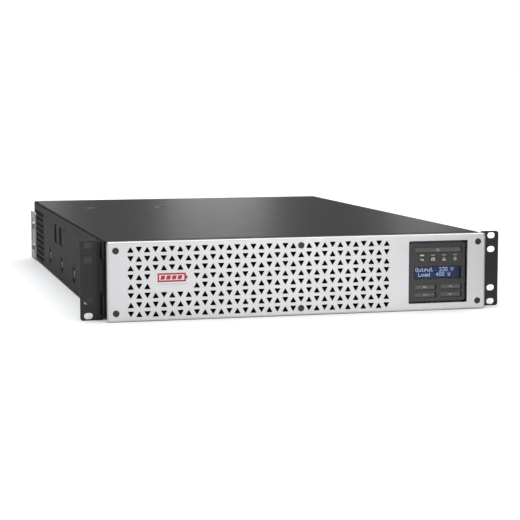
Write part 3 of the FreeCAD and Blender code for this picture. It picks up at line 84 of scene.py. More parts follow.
# print and display details, in millimetres; a letter's columns count the gap after it
INK = 0.04
THIN_INK = 0.03
STROKE = 0.45
DOT_COLUMNS = 6
DOT_WIDTH = 0.588
DOT_HEIGHT_UPPER = 0.66
DOT_HEIGHT_LOWER = 0.62
DOT_COVER = 0.94
TEXT_INDENT_UPPER = 3.0
TEXT_INDENT_LOWER = 6.4
TEXT_DROP_UPPER = 1.6
TEXT_DROP_LOWER = 7.3


# ---------------------------------------------------------------- materials
class Finish:
    """A node material whose patterns lie in object coordinates, so that they keep their real size."""

    def __init__(self, name):
        self.material = bpy.data.materials.new(name)
        self.material.use_nodes = True
        self.tree = self.material.node_tree
        self.tree.nodes.clear()
        self.place = self.add("ShaderNodeTexCoord").outputs["Object"]
        self.axes = self.add("ShaderNodeSeparateXYZ", {0: self.place}).outputs

    def add(self, kind, inputs=None, **settings):
        node = self.tree.nodes.new(kind)
        for key, setting in settings.items():
            setattr(node, key, setting)
        for key, source in (inputs or {}).items():
            if isinstance(source, bpy.types.NodeSocket):
                self.tree.links.new(source, node.inputs[key])
            else:
                node.inputs[key].default_value = source
        return node

    def maths(self, operation, first, second=0.0, clamp=False):
        node = self.add("ShaderNodeMath", {0: first, 1: second}, operation=operation, use_clamp=clamp)
        return node.outputs[0]

    def scaled(self, size, stretch=(1, 1, 1)):
        """The place divided by size, longer along the axes whose stretch is over one."""
        return self.add("ShaderNodeVectorMath", {0: self.place, 1: [1 / (size * s) for s in stretch]},
                        operation="MULTIPLY").outputs[0]

    def noise(self, size, stretch=(1, 1, 1), detail=2.0):
        """Smooth noise from 0 to 1 with lumps about size metres across."""
        return self.add("ShaderNodeTexNoise", {"Vector": self.scaled(size, stretch), "Scale": 1.0,
                                               "Detail": detail}).outputs["Fac"]

    def cells(self, size, feature="F1", stretch=(1, 1, 1)):
        """Distance from the centres, or from the walls, of cells about size metres across."""
        return self.add("ShaderNodeTexVoronoi", {"Vector": self.scaled(size, stretch), "Scale": 1.0},
                        feature=feature).outputs["Distance"]

    def stripes(self, pitch, axis):
        """A sine wave from 0 to 1 along one axis."""
        turns = self.maths("MULTIPLY", self.axes[axis], 2 * math.pi / pitch)
        return self.span(self.maths("SINE", turns), -1, 1)

    def span(self, source, low, high, to_low=0.0, to_high=1.0):
        """Maps low to high onto to_low to to_high, and no further."""
        return self.add("ShaderNodeMapRange", {"Value": source, "From Min": low, "From Max": high,
                                               "To Min": to_low, "To Max": to_high}).outputs["Result"]

    def mix(self, factor, low, high):
        """A colour that goes from low to high with factor."""
        node = self.add("ShaderNodeMix", {0: factor, 6: self.rgba(low), 7: self.rgba(high)},
                        data_type="RGBA")
        return node.outputs[2]

    @staticmethod
    def rgba(colour):
        return colour if isinstance(colour, bpy.types.NodeSocket) else (*colour, 1.0)

    def shades(self, colour, size, spread, stretch=(1, 1, 1)):
        """The colour with lighter and darker clouds of that size."""
        low = [c * (1 - spread) for c in colour]
        high = [min(1.0, c * (1 + spread)) for c in colour]
        return self.mix(self.span(self.noise(size, stretch), 0.3, 0.7), low, high)

    def edges(self, radius):
        """One along sharp outer and inner edges, zero on flat faces."""
        rounded = self.add("ShaderNodeBevel", {"Radius": radius}, samples=4).outputs["Normal"]
        flat = self.add("ShaderNodeNewGeometry").outputs["Normal"]
        along = self.add("ShaderNodeVectorMath", {0: rounded, 1: flat}, operation="DOT_PRODUCT")
        return self.span(along.outputs["Value"], 0.75, 0.98, 1.0, 0.0)

    def bump(self, height, depth, under=None):
        inputs = {"Height": height, "Distance": depth, "Strength": 1.0}
        if under is not None:
            inputs["Normal"] = under
        return self.add("ShaderNodeBump", inputs).outputs["Normal"]

    def surface(self, colour, roughness, metallic=0.0, normal=None, **more):
        """Puts the principled surface in place and returns the material."""
        inputs = {"Base Color": self.rgba(colour), "Roughness": roughness, "Metallic": metallic}
        inputs.update({key.replace("_", " "): value for key, value in more.items()})
        if normal is not None:
            inputs["Normal"] = normal
        shader = self.add("ShaderNodeBsdfPrincipled", inputs)
        output = self.add("ShaderNodeOutputMaterial")
        self.tree.links.new(shader.outputs[0], output.inputs["Surface"])
        return self.material


def powder_coat(name, colour, wear):
    """Satin powder coat: fine orange peel, faint clouds, and paint thinned along its edges."""
    f = Finish(name)
    peel = f.noise(0.0007, detail=3.0)
    tone = f.shades(colour, 0.04, 0.04)
    speck = f.mix(f.span(f.noise(0.00025), 0.6, 0.8), tone, [c * 1.35 for c in colour])
    scuffed = f.maths("MULTIPLY", f.edges(0.0006), f.span(f.noise(0.006, detail=6.0), 0.45, 0.7))
    worn = f.mix(f.maths("MULTIPLY", scuffed, wear), speck, (0.32, 0.32, 0.33))
    rough = f.span(f.noise(0.03, detail=3.0), 0.3, 0.7, 0.395, 0.42)
    return f.surface(worn, rough, normal=f.bump(peel, 0.000005), Specular_IOR_Level=0.35)


def silver_paint(name, colour):
    """Silver lacquer on the face and rim: metal flakes and a trace of the rolling direction.

    The walls of the holes inside the rim are painted black and not metallic, as painted shade inside the
    holes.
    """
    f = Finish(name)
    flake = f.span(f.cells(0.00035), 0.1, 0.7)
    tone = f.shades(colour, 0.08, 0.02)
    grained = f.mix(f.noise(0.0003, (40, 1, 1)), [c * 0.96 for c in colour], tone)
    sparkle = f.mix(f.maths("MULTIPLY", flake, 0.35), [c * 1.06 for c in colour], grained)
    rough = f.span(f.noise(0.02, detail=4.0), 0.3, 0.7, 0.33, 0.39)
    flat = f.add("ShaderNodeNewGeometry").outputs["True Normal"]
    facing_out = f.add("ShaderNodeSeparateXYZ", {0: flat})
    # painted shade: walls of the holes inside the rim, found by their normal, are made black so that the
    # holes read dark
    hole_wall_shade = f.span(f.maths("ABSOLUTE", facing_out.outputs["Y"]), 0.3, 0.6, 1.0, 0.0)
    plate_low, plate_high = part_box("front_fascia")
    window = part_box("display_housing")[0].x - RIM
    hole_wall_shade = f.maths("MULTIPLY", hole_wall_shade, f.maths("GREATER_THAN", f.axes["X"], plate_low.x + RIM))
    hole_wall_shade = f.maths("MULTIPLY", hole_wall_shade, f.maths("LESS_THAN", f.axes["X"], window))
    hole_wall_shade = f.maths("MULTIPLY", hole_wall_shade, f.maths("GREATER_THAN", f.axes["Z"], plate_low.z + RIM))
    hole_wall_shade = f.maths("MULTIPLY", hole_wall_shade, f.maths("LESS_THAN", f.axes["Z"], plate_high.z - RIM))
    # the painted shade inside the holes takes the black of the plastic parts
    tone = f.mix(hole_wall_shade, sparkle, PLASTIC_BLACK)
    return f.surface(tone, rough, f.span(hole_wall_shade, 0, 1, 0.78, 0.0), f.bump(f.noise(0.0006), 0.000008),
                     Coat_Weight=0.12, Coat_Roughness=0.25)


def moulded(name, colour, roughness=0.5, grain=0.00035, depth=0.00002, coat=0.0):
    """Moulded plastic with the fine eroded texture of its tool, edges slightly shiny from rubbing, and a
    painted highlight that lightens every sharp edge.
    """
    f = Finish(name)
    texture = f.noise(grain, detail=3.0)
    tone = f.shades(colour, 0.03, 0.08)
    edge_highlight_and_rub = f.edges(0.0004)
    # painted highlight: the colour is lighter along all sharp edges; the lower roughness there is the shine
    # of rubbing
    lighter = f.mix(f.maths("MULTIPLY", edge_highlight_and_rub, 0.35), tone, [min(1.0, c * 2 + 0.02) for c in colour])
    matte = f.span(f.noise(0.015, detail=4.0), 0.3, 0.7, roughness - 0.05, roughness + 0.05)
    rough = f.maths("SUBTRACT", matte, f.maths("MULTIPLY", edge_highlight_and_rub, 0.12))
    return f.surface(lighter, rough, normal=f.bump(texture, depth), Coat_Weight=coat,
                     Coat_Roughness=0.12)


def plated(name, colour, roughness=0.34, stretch=(1, 14, 1), spangle=0.0, metallic=0.92):
    """Zinc or nickel plate: drawn lines along one axis, faint stains, and spangles on hot-dip zinc."""
    f = Finish(name)
    lines = f.noise(0.00018, stretch)
    tone = f.shades(colour, 0.025, 0.08)
    drawn = f.mix(f.span(lines, 0.35, 0.65), [c * 0.9 for c in colour], tone)
    crystal = f.mix(f.maths("MULTIPLY", f.cells(0.006), spangle), drawn,
                    [min(1, c * 1.25) for c in colour])
    rough = f.span(f.noise(0.008, detail=5.0), 0.3, 0.7, roughness - 0.06, roughness + 0.08)
    return f.surface(crystal, rough, metallic, f.bump(lines, 0.000006))


def foam(name, colour):
    """Open-cell foam: round pores with thin walls between them."""
    f = Finish(name)
    pores = f.cells(0.0011)
    tone = f.mix(f.span(pores, 0.2, 0.7), [c * 0.3 for c in colour], colour)
    return f.surface(tone, 0.95, normal=f.bump(pores, 0.0006), Specular_IOR_Level=0.1)


def board(name):
    """Green solder mask over copper traces, with tinned pads."""
    f = Finish(name)
    track = f.span(f.cells(0.009, "DISTANCE_TO_EDGE", (1, 1.6, 1)), 0.03, 0.05)
    mask = f.mix(track, (0.035, 0.22, 0.08), (0.012, 0.09, 0.035))
    pads = f.span(f.cells(0.005), 0.12, 0.15)
    tinned = f.mix(pads, (0.62, 0.6, 0.5), mask)
    metal = f.span(pads, 0, 1, 0.8, 0.0)
    return f.surface(tinned, f.span(pads, 0, 1, 0.3, 0.38), metal, f.bump(track, 0.00003))


def wound(name, colour, pitch, axis):
    """Enamelled wire in close turns."""
    f = Finish(name)
    turns = f.stripes(pitch, axis)
    tone = f.mix(turns, [c * 0.35 for c in colour], f.shades(colour, 0.012, 0.15))
    return f.surface(tone, 0.32, 0.75, f.bump(turns, pitch * 0.3), Coat_Weight=0.4, Coat_Roughness=0.2)


def laminated(name, colour):
    """A stack of varnished iron sheets."""
    f = Finish(name)
    sheets = f.stripes(0.0009, "Z")
    tone = f.mix(sheets, [c * 0.5 for c in colour], f.shades(colour, 0.02, 0.12))
    return f.surface(tone, 0.5, 0.5, f.bump(sheets, 0.0001), Coat_Weight=0.3, Coat_Roughness=0.35)


def sleeve(name, colour, top_colour):
    """Shrink sleeve round a can, whose upward end is bare metal."""
    f = Finish(name)
    facing_out = f.add("ShaderNodeNewGeometry").outputs["Normal"]
    up = f.add("ShaderNodeSeparateXYZ", {0: facing_out}).outputs["Z"]
    bare = f.span(up, 0.7, 0.9)
    tone = f.mix(bare, f.shades(colour, 0.01, 0.1), top_colour)
    wrinkle = f.noise(0.004, (1, 1, 0.2), 4.0)
    return f.surface(tone, f.span(wrinkle, 0.3, 0.7, 0.25, 0.36), f.maths("MULTIPLY", bare, 0.9),
                     f.bump(wrinkle, 0.0001))


def smoked_glass(name):
    """A clear acrylic window with a smoked tint and a hard, glossy face."""
    f = Finish(name)
    haze = f.noise(0.012, detail=4.0)
    f.material.surface_render_method = "BLENDED"
    return f.surface((0.008, 0.010, 0.014), f.span(haze, 0.3, 0.7, 0.05, 0.1), Alpha=0.18,
                     Specular_IOR_Level=0.3)


def backlit(name, colour, strength, pixel):
    """A blue backlight, brighter in the middle, behind a grid of unlit dots."""
    f = Finish(name)
    across = f.stripes(pixel, "X")
    down = f.stripes(pixel, "Z")
    dots = f.maths("MULTIPLY", f.span(across, 0.25, 0.5), f.span(down, 0.25, 0.5))
    low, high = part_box("display_lens")
    middle = (low.x + high.x) / 2
    reach = f.maths("ABSOLUTE", f.maths("SUBTRACT", f.axes["X"], middle))
    falloff = f.span(reach, 0.010, 0.028, 1.0, 0.6)
    glow = f.mix(f.maths("MULTIPLY", dots, 0.12), colour, [c * 0.55 for c in colour])
    return f.surface([c * 0.25 for c in colour], 0.3, Emission_Color=glow,
                     Emission_Strength=f.maths("MULTIPLY", falloff, strength))


def luminous(name, colour, strength):
    """Lit liquid crystal or a lit mark, a little uneven as a real backlight is."""
    f = Finish(name)
    return f.surface([c * 0.4 for c in colour], 0.4, Emission_Color=f.rgba(colour),
                     Emission_Strength=f.span(f.noise(0.006), 0.3, 0.7, strength * 0.9, strength * 1.1))


def printed(name, colour):
    """Screen-printed ink with a slightly uneven edge and cover."""
    f = Finish(name)
    return f.surface(f.shades(colour, 0.0012, 0.10), f.span(f.noise(0.001), 0.3, 0.7, 0.42, 0.55),
                     normal=f.bump(f.noise(0.0003), 0.00001))


def light_pipes(name):
    """Frosted light pipes, of which the first from the left is lit green."""
    f = Finish(name)
    low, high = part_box("status_light_pipes")
    lit = f.maths("LESS_THAN", f.axes["X"], low.x + (high.x - low.x) / 4)
    tone = f.mix(lit, (0.20, 0.205, 0.20), LIT_GREEN)
    glow = f.maths("MULTIPLY", lit, 0.6)
    return f.surface(tone, f.span(f.noise(0.0008), 0.3, 0.7, 0.3, 0.4), Emission_Color=f.rgba(LIT_GREEN),
                     Emission_Strength=glow, Subsurface_Weight=0.1,
                     Subsurface_Radius=(0.001, 0.001, 0.001))


FINISHES = {
    "black_steel": powder_coat("black_steel", STEEL_BLACK, 0.25),
    "galvanised_steel": plated("galvanised_steel", (0.55, 0.56, 0.57), 0.42, spangle=0.4),
    "insulation_film": moulded("insulation_film", (0.012, 0.012, 0.013), 0.4, 0.002, 0.00004),
    "zinc_screw": plated("zinc_screw", (0.52, 0.52, 0.50), 0.3, (1, 1, 1)),
    "silver_fascia": silver_paint("silver_fascia", SILVER),
    "dark_screw": moulded("dark_screw", (0.014, 0.014, 0.0145), 0.36, 0.0005, 0.00001),
    "black_plastic": moulded("black_plastic", PLASTIC_BLACK, 0.5),
    "filter_mesh": foam("filter_mesh", (0.0045, 0.0045, 0.0048)),
    "button_plastic": moulded("button_plastic", KEY_GREY, 0.4, 0.0003, 0.00001),
    "smoked_lens": smoked_glass("smoked_lens"),
    "lcd_glass": moulded("lcd_glass", (0.008, 0.010, 0.02), 0.15, 0.002, 0.000004, coat=0.5),
    "clear_plastic": light_pipes("clear_plastic"),
    "circuit_board": board("circuit_board"),
    "component_plastic": moulded("component_plastic", (0.022, 0.022, 0.024), 0.48),
    "zinc_bracket": plated("zinc_bracket", (0.80, 0.81, 0.82), 0.42, (1, 20, 1), 0.15, 0.45),
    "fan_plastic": moulded("fan_plastic", (0.015, 0.015, 0.016), 0.42, 0.0006, 0.00002),
    "chrome_wire": plated("chrome_wire", (0.70, 0.70, 0.71), 0.2, (1, 1, 1)),
    "pin_metal": plated("pin_metal", (0.66, 0.60, 0.45), 0.28, (1, 10, 1)),
    "white_plastic": moulded("white_plastic", (0.70, 0.70, 0.67), 0.35, 0.0006, 0.00001),
    "green_plastic": moulded("green_plastic", (0.03, 0.24, 0.07), 0.42),
    "battery_sleeve": powder_coat("battery_sleeve", (0.24, 0.25, 0.26), 0.2),
    "cell_wrap": sleeve("cell_wrap", (0.05, 0.16, 0.42), (0.6, 0.6, 0.6)),
    "laminated_iron": laminated("laminated_iron", (0.20, 0.20, 0.21)),
    "copper_winding": wound("copper_winding", (0.55, 0.25, 0.10), 0.0016, "Y"),
    "bare_aluminium": plated("bare_aluminium", (0.70, 0.71, 0.72), 0.38, (1, 60, 1)),
    "capacitor_sleeve": sleeve("capacitor_sleeve", (0.018, 0.025, 0.07), (0.55, 0.55, 0.56)),
}
DISPLAY_FACE = moulded("display_face", DISPLAY_GREY, 0.3, 0.0012, 0.000003, coat=0.15)
LCD_LIGHT = backlit("lcd_backlight", LCD_BLUE, 1.0, 0.00059)
LCD_INK = luminous("lcd_letters", LCD_LETTER, 0.95)
WHITE_INK = printed("white_print", PRINT_WHITE)
RED_INK = printed("red_print", MARK_RED)
GREY_INK = printed("grey_print", (0.27, 0.27, 0.275))

for row in frame["record"]["subparts"]:
    painted = nodes[row["node"]]
    painted.data.materials.clear()
    painted.data.materials.append(FINISHES[row["material_slot"]])
nodes["display_housing"].data.materials[0] = DISPLAY_FACE


# ---------------------------------------------------------------- flat shapes for print and dots
def ribbon(points, width, closed=False):
    """The two sides of a mitred stroke along points, as a list of four-cornered outlines."""
    points = [Vector(p) for p in points]
    count = len(points)
    sides = []
    for k, point in enumerate(points):
        before = points[k - 1] if k or closed else None
        after = points[(k + 1) % count] if k + 1 < count or closed else None
        ways = [(b - a).normalized() for a, b in ((before, point), (point, after)) if a and b]
        normals = [Vector((-way.y, way.x)) for way in ways]
        mitre = sum(normals, Vector((0, 0))).normalized()
        reach = width / 2 / max(0.4, mitre.dot(normals[0]))
        sides.append((point + mitre * reach, point - mitre * reach))
    pairs = zip(sides, sides[1:] + (sides[:1] if closed else []))
    return [(a[0], a[1], b[1], b[0]) for a, b in pairs]


def circle(x, z, radius, start=0.0, sweep=360.0, steps=20):
    """Points along an arc, the last one left out when it closes."""
    last = steps if sweep >= 360 else steps - 1
    angles = [math.radians(start + sweep * k / last) for k in range(steps)]
    return [(x + radius * math.cos(a), z + radius * math.sin(a)) for a in angles]


def box_outline(left, low, width, height):
    return [(left, low), (left + width, low), (left + width, low + height), (left, low + height)]


def facing(name, outlines, face, material, body, thickness=INK, back=False):
    """Thin plates of the given outlines in mm, standing proud of the plane y = face.

    The outlines' first axis is X and the second is Z; with back, they face towards +Y.
    """
    mesh = bmesh.new()
    out = face * 1000 + (thickness if back else -thickness)
    for outline in outlines:
        below = [mesh.verts.new((x, face * 1000, z)) for x, z in outline]
        above = [mesh.verts.new((x, out, z)) for x, z in outline]
        mesh.faces.new(below)
        mesh.faces.new(above[::-1])
        count = len(outline)
        for k in range(count):
            mesh.faces.new((below[k], above[k], above[(k + 1) % count], below[(k + 1) % count]))
    bmesh.ops.remove_doubles(mesh, verts=mesh.verts, dist=0.001)
    doubled = [f for f in mesh.faces if f.calc_area() < 1e-9]
    bmesh.ops.delete(mesh, geom=doubled, context="FACES")
    bmesh.ops.recalc_face_normals(mesh, faces=mesh.faces)
    bmesh.ops.scale(mesh, vec=(MM, MM, MM), verts=mesh.verts)
    data = bpy.data.meshes.new(name)
    mesh.to_mesh(data)
    mesh.free()
    piece = bpy.data.objects.new(name, data)
    bpy.context.scene.collection.objects.link(piece)
    data.materials.append(material)
    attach(piece, body)
    return piece


def in_mm(node):
    low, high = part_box(node)
    return low * 1000, high * 1000


# ---------------------------------------------------------------- display face
FACE_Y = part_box("display_housing")[0].y
pipes_low = in_mm("status_light_pipes")[0]
LED_PITCH = 13.2
LED_WIDTH = 4.6
led_x = [pipes_low.x + LED_WIDTH / 2 + k * LED_PITCH for k in range(4)]
icon_z = pipes_low.z - 3.9


def wave_icon(x, z):
    """A plug with a wave: mains is present."""
    wave = [(x - 2.1 + 0.28 * k, z + 0.75 * math.sin(k * math.pi / 4)) for k in range(8)]
    plug = circle(x + 1.0, z - 0.5, 0.95, 90, 180, 8)
    lower_pin = [(x + 1.0, z - 1.1), (x + 2.1, z - 1.1)]
    upper_pin = [(x + 1.0, z + 0.1), (x + 2.1, z + 0.1)]
    return [outline for line in (wave, plug, lower_pin, upper_pin) for outline in ribbon(line, STROKE)]


def battery_icon(x, z):
    """Two cells of a battery with their terminals."""
    body = ribbon(box_outline(x - 1.9, z - 1.4, 3.8, 2.3), STROKE, closed=True)
    posts = [box_outline(x - 1.5, z + 1.15, 0.9, 0.5), box_outline(x + 0.6, z + 1.15, 0.9, 0.5)]
    signs = [box_outline(x - 1.2, z - 0.45, 0.9, 0.4), box_outline(x + 0.4, z - 0.45, 0.9, 0.4)]
    return body + posts + signs


def warning_icon(x, z):
    """A warning triangle."""
    corners = [(x - 1.9, z - 1.5), (x + 1.9, z - 1.5), (x, z + 1.7)]
    return ribbon(corners, STROKE, closed=True) + [box_outline(x - 0.2, z - 0.45, 0.4, 1.1),
                                                   box_outline(x - 0.2, z - 1.05, 0.4, 0.35)]


def fault_icon(x, z):
    """A ring with a bar in it."""
    return ribbon(circle(x, z, 1.55), STROKE, closed=True) + [box_outline(x - 0.55, z - 0.25, 1.1, 0.5)]


icons = [wave_icon, battery_icon, warning_icon, fault_icon]
facing("status_icons", [o for icon, x in zip(icons, led_x) for o in icon(x, icon_z)],
       FACE_Y, WHITE_INK, "enclosure")


# ---------------------------------------------------------------- key symbols
def power_symbol(x, z):
    return ribbon(circle(x, z, 1.35, 120, 300, 18), 0.4) + [box_outline(x - 0.2, z + 0.1, 0.4, 1.7)]


def back_symbol(x, z):
    head = [(x - 0.6, z + 1.1), (x - 2.2, z), (x - 0.6, z - 1.1)]
    return ribbon([(x + 2.2, z), (x - 2.0, z)], STROKE) + ribbon(head, STROKE)


def up_symbol(x, z):
    return ribbon([(x - 1.6, z - 0.6), (x, z + 0.8), (x + 1.6, z - 0.6)], 0.5)


def down_symbol(x, z):
    return ribbon([(x - 1.6, z + 0.6), (x, z - 0.8), (x + 1.6, z + 0.6)], 0.5)


def enter_symbol(x, z):
    hook = ribbon([(x + 1.9, z + 1.0), (x + 1.9, z - 0.3), (x - 1.2, z - 0.3)], 0.4)
    return hook + [[(x - 2.2, z - 0.3), (x - 0.9, z - 1.1), (x - 0.9, z + 0.5)]]


SYMBOLS = {"power_button": power_symbol, "back_button": back_symbol, "up_button": up_symbol,
           "enter_button": enter_symbol, "down_button": down_symbol}
for button, symbol in SYMBOLS.items():
    low, high = in_mm(button)
    facing(button.replace("button", "symbol"), symbol((low.x + high.x) / 2, (low.z + high.z) / 2),
           low.y * MM, WHITE_INK, button)


# ---------------------------------------------------------------- liquid-crystal screen
GLYPHS = {
    "O": (" ### ", "#   #", "#   #", "#   #", "#   #", "#   #", " ### "),
    "u": ("     ", "     ", "#   #", "#   #", "#   #", "#  ##", " ## #"),
    "t": (" #   ", " #   ", "###  ", " #   ", " #   ", " #  #", "  ## "),
    "p": ("     ", "     ", "#### ", "#   #", "#### ", "#    ", "#    "),
    "L": ("#    ", "#    ", "#    ", "#    ", "#    ", "#    ", "#####"),
    "o": ("     ", "     ", " ### ", "#   #", "#   #", "#   #", " ### "),
    "a": ("     ", "     ", " ### ", "    #", " ####", "#   #", " ####"),
    "d": ("    #", "    #", " ## #", "#  ##", "#   #", "#   #", " ####"),
    "0": (" ### ", "#   #", "#   #", "#   #", "#   #", "#   #", " ### "),
    "2": (" ### ", "#   #", "    #", "   # ", "  #  ", " #   ", "#####"),
    "3": ("#####", "   # ", "  #  ", "   # ", "    #", "#   #", " ### "),
    "4": ("   # ", "  ## ", " # # ", "#  # ", "#####", "   # ", "   # "),
    "V": ("#   #", "#   #", "#   #", "#   #", "#   #", " # # ", "  #  "),
    "W": ("#   #", "#   #", "#   #", "# # #", "# # #", "# # #", " # # "),
}


def dot_line(text, left, top, pitch_z):
    """The lit dots of one line of text, each a little smaller than its pitch."""
    dots = []
    for place, letter in enumerate(text):
        for down, line in enumerate(GLYPHS.get(letter, ())):
            for across, mark in enumerate(line):
                if mark == "#":
                    x = left + (place * DOT_COLUMNS + across) * DOT_WIDTH
                    dots.append(box_outline(x, top - (down + 1) * pitch_z, DOT_WIDTH * DOT_COVER,
                                            pitch_z * DOT_COVER))
    return dots


lens_low, lens_high = in_mm("display_lens")
lcd_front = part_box("lcd_panel")[0].y
screen = box_outline(lens_low.x + 1.1, lens_low.z + 1.2, lens_high.x - lens_low.x - 2.2,
                     lens_high.z - lens_low.z - 2.4)
facing("lcd_backlight", [screen], lcd_front, LCD_LIGHT, "enclosure")
letters = dot_line("Output  230 V", lens_low.x + TEXT_INDENT_UPPER, lens_high.z - TEXT_DROP_UPPER,
                   DOT_HEIGHT_UPPER)
letters += dot_line("Load  400 W", lens_low.x + TEXT_INDENT_LOWER, lens_high.z - TEXT_DROP_LOWER,
                    DOT_HEIGHT_LOWER)
facing("lcd_letters", letters, lcd_front - INK * MM, LCD_INK, "enclosure", THIN_INK)


# ---------------------------------------------------------------- generic mark on the front plate
FASCIA_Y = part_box("front_fascia")[0].y
MARK_LEFT = -161.5
MARK_LOW = 41.9


def battery_mark(left, low, width=31.0, height=9.6):
    """A lying battery with slanted bars, as a plain picture of what the unit is."""
    case = ribbon(box_outline(left + 0.9, low + 0.9, width - 1.8, height - 1.8), 1.8, closed=True)
    terminal = [box_outline(left + width, low + height / 2 - 1.8, 1.7, 3.6)]
    bars = [[(left + x, low + 2.6), (left + x + 4.6, low + 2.6), (left + x + 5.8, low + height - 2.6),
             (left + x + 1.2, low + height - 2.6)] for x in (2.9, 9.1, 15.3, 21.5)]
    return case + terminal + bars


facing("front_mark", battery_mark(MARK_LEFT, MARK_LOW), FASCIA_Y, RED_INK, "enclosure", THIN_INK)
facing("front_mark_rule", [box_outline(MARK_LEFT, MARK_LOW - 2.6, 33.0, 0.35)], FASCIA_Y, GREY_INK,
       "enclosure", THIN_INK)


# ---------------------------------------------------------------- print on the rear panel
REAR_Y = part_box("rear_panel")[1].y
FRAME_GAP = 1.6
RULE = 0.35
EARTH_OFFSET = 6.0


def frame_round(node):
    """A thin printed line round a node of the rear panel."""
    low, high = in_mm(node)
    return ribbon(box_outline(low.x - FRAME_GAP, low.z - FRAME_GAP, high.x - low.x + 2 * FRAME_GAP,
                              high.z - low.z + 2 * FRAME_GAP), RULE, closed=True)


def earth_symbol(x, z):
    """The usual sign of a protective earth."""
    bars = [box_outline(x - half, z - drop, 2 * half, 0.3)
            for half, drop in ((1.3, 0), (0.85, 0.65), (0.4, 1.3))]
    return bars + [box_outline(x - 0.15, z + 0.2, 0.3, 1.3)]


print_lines = frame_round("outlet_bank_upper") + frame_round("outlet_bank_lower")
print_lines += frame_round("large_outlet") + frame_round("power_inlet")
ground = next(mount["pos_m"] for mount in frame["record"]["mounts"] if mount["name"] == "ground_point")
print_lines += earth_symbol(ground[0] * 1000 - EARTH_OFFSET, ground[2] * 1000)
facing("rear_print", print_lines, REAR_Y, GREY_INK, "enclosure", back=True)


# ---------------------------------------------------------------- edges of the CAD shells
def soften(node, width):
    """Rounds the sharp edges of a sheet or moulding by modifiers, and leaves its mesh as it is."""
    shell = nodes[node]
    weld = shell.modifiers.new("weld", "WELD")
    weld.merge_threshold = 0.000002
    bevel = shell.modifiers.new("bevel", "BEVEL")
    bevel.width = width
    bevel.segments = 2
    bevel.limit_method = "ANGLE"
    bevel.angle_limit = math.radians(40)
    even = shell.modifiers.new("even_shading", "WEIGHTED_NORMAL")
    even.keep_sharp = True


# ---------------------------------------------------------------- floor, light and camera
def floor_material():
    """Pale matt paper that throws little light back, as if dark cards lay on it, but for one white card
    in front of the unit."""
    f = Finish("pale_floor")
    seen = f.add("ShaderNodeLightPath").outputs["Is Camera Ray"]
    pale = f.shades((0.88, 0.88, 0.88), 0.8, 0.01)
    in_front = f.span(f.axes["Y"], FASCIA_Y, FASCIA_Y + 0.05, 1, 0)
    to_left = f.span(f.axes["X"], *CARD_EDGE, 1, 0)
    bounce = f.mix(f.maths("MULTIPLY", in_front, to_left), FLOOR_BOUNCE, CARD_BOUNCE)
    return f.surface(f.mix(seen, bounce, pale), 0.9, Specular_IOR_Level=0.1)


def add_floor():
    bpy.ops.mesh.primitive_plane_add(size=40.0, location=(0, 0, 0))
    floor = bpy.context.active_object
    floor.name = "floor"
    floor.data.materials.append(floor_material())


def add_softbox(name, place, target, width, height, power):
    light = bpy.data.lights.new(name, "AREA")
    light.shape = "RECTANGLE"
    light.size = width
    light.size_y = height
    light.energy = power
    lamp = bpy.data.objects.new(name, light)
    bpy.context.scene.collection.objects.link(lamp)
    lamp.location = place
    way = Vector(target) - Vector(place)
    lamp.rotation_euler = way.to_track_quat("-Z", "Y").to_euler()
    lamp.visible_camera = False


def add_strip(name, across, width, power):
    """An upright strip light behind the unit; across is its bearing from the camera, in degrees from +Y."""
    turn = math.radians(across)
    place = Vector(CAMERA_PLACE) + STRIP_DISTANCE * Vector((math.sin(turn), math.cos(turn), 0))
    place.z = STRIP_HEIGHT
    add_softbox(name, place, (0, 0, 0.08), width, STRIP_LENGTH, power)


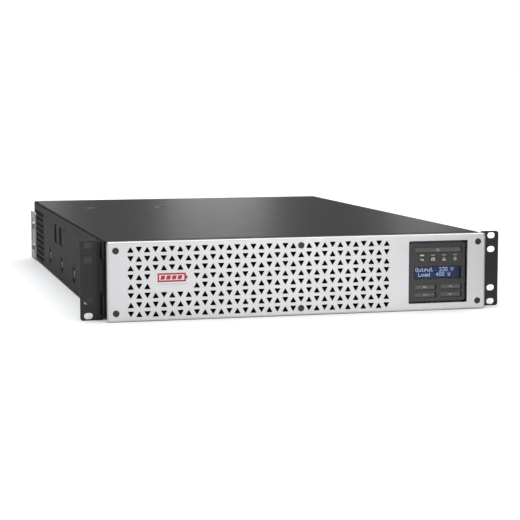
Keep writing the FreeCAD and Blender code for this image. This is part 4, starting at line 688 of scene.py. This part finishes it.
def add_world():
    """A white backdrop for the camera, and for the rest a studio dome that is dark near the horizon."""
    world = bpy.data.worlds.new("studio")
    world.use_nodes = True
    tree = world.node_tree
    tree.nodes.clear()
    place = tree.nodes.new("ShaderNodeTexCoord")
    axes = tree.nodes.new("ShaderNodeSeparateXYZ")
    rise = tree.nodes.new("ShaderNodeMapRange")
    rise.interpolation_type = "SMOOTHSTEP"
    rise.inputs["From Min"].default_value = math.sin(math.radians(DOME_START))
    rise.inputs["From Max"].default_value = math.sin(math.radians(DOME_FULL))
    rise.inputs["To Min"].default_value = DOME_LOW
    rise.inputs["To Max"].default_value = DOME_HIGH
    seen = tree.nodes.new("ShaderNodeBackground")
    seen.inputs["Color"].default_value = (1, 1, 1, 1)
    seen.inputs["Strength"].default_value = 1.0
    room = tree.nodes.new("ShaderNodeBackground")
    room.inputs["Color"].default_value = (0.98, 0.99, 1.0, 1)
    path = tree.nodes.new("ShaderNodeLightPath")
    choose = tree.nodes.new("ShaderNodeMixShader")
    output = tree.nodes.new("ShaderNodeOutputWorld")
    tree.links.new(place.outputs["Generated"], axes.inputs[0])
    tree.links.new(axes.outputs["Z"], rise.inputs["Value"])
    tree.links.new(rise.outputs["Result"], room.inputs["Strength"])
    tree.links.new(path.outputs["Is Camera Ray"], choose.inputs[0])
    tree.links.new(room.outputs[0], choose.inputs[1])
    tree.links.new(seen.outputs[0], choose.inputs[2])
    tree.links.new(choose.outputs[0], output.inputs["Surface"])
    bpy.context.scene.world = world


def add_camera():
    data = bpy.data.cameras.new("camera")
    data.lens = CAMERA_LENS
    data.sensor_width = 36.0
    camera = bpy.data.objects.new("camera", data)
    bpy.context.scene.collection.objects.link(camera)
    camera.location = CAMERA_PLACE
    camera.rotation_euler = (math.radians(90 - CAMERA_DOWN), 0, -math.radians(CAMERA_ACROSS))
    bpy.context.scene.camera = camera


add_floor()
add_world()
add_softbox("front_card", (0.9, -3.1, 0.5), (0.1, -0.3, 0.05), width=0.75, height=1.0, power=12.5)
add_softbox("key", (-0.75, -1.85, 1.65), (0.05, -0.3, 0.04), width=0.35, height=0.35, power=6)
add_softbox("rear_fill", (2.4, 1.9, 1.1), (0, 0.3, 0.05), width=1.2, height=1.2, power=9)
add_strip("middle_strip", 13.4, width=0.33, power=1.35)
add_strip("right_strip", 21.2, width=0.2, power=0.65)
add_strip("left_strip", 6.3, width=0.18, power=0.6)
add_camera()
bpy.context.scene.view_settings.view_transform = "Standard"

for shell in ("bezel_frame", "display_housing", "outlet_bank_upper", "outlet_bank_lower", "large_outlet",
              "power_inlet"):
    soften(shell, 0.25 * MM)
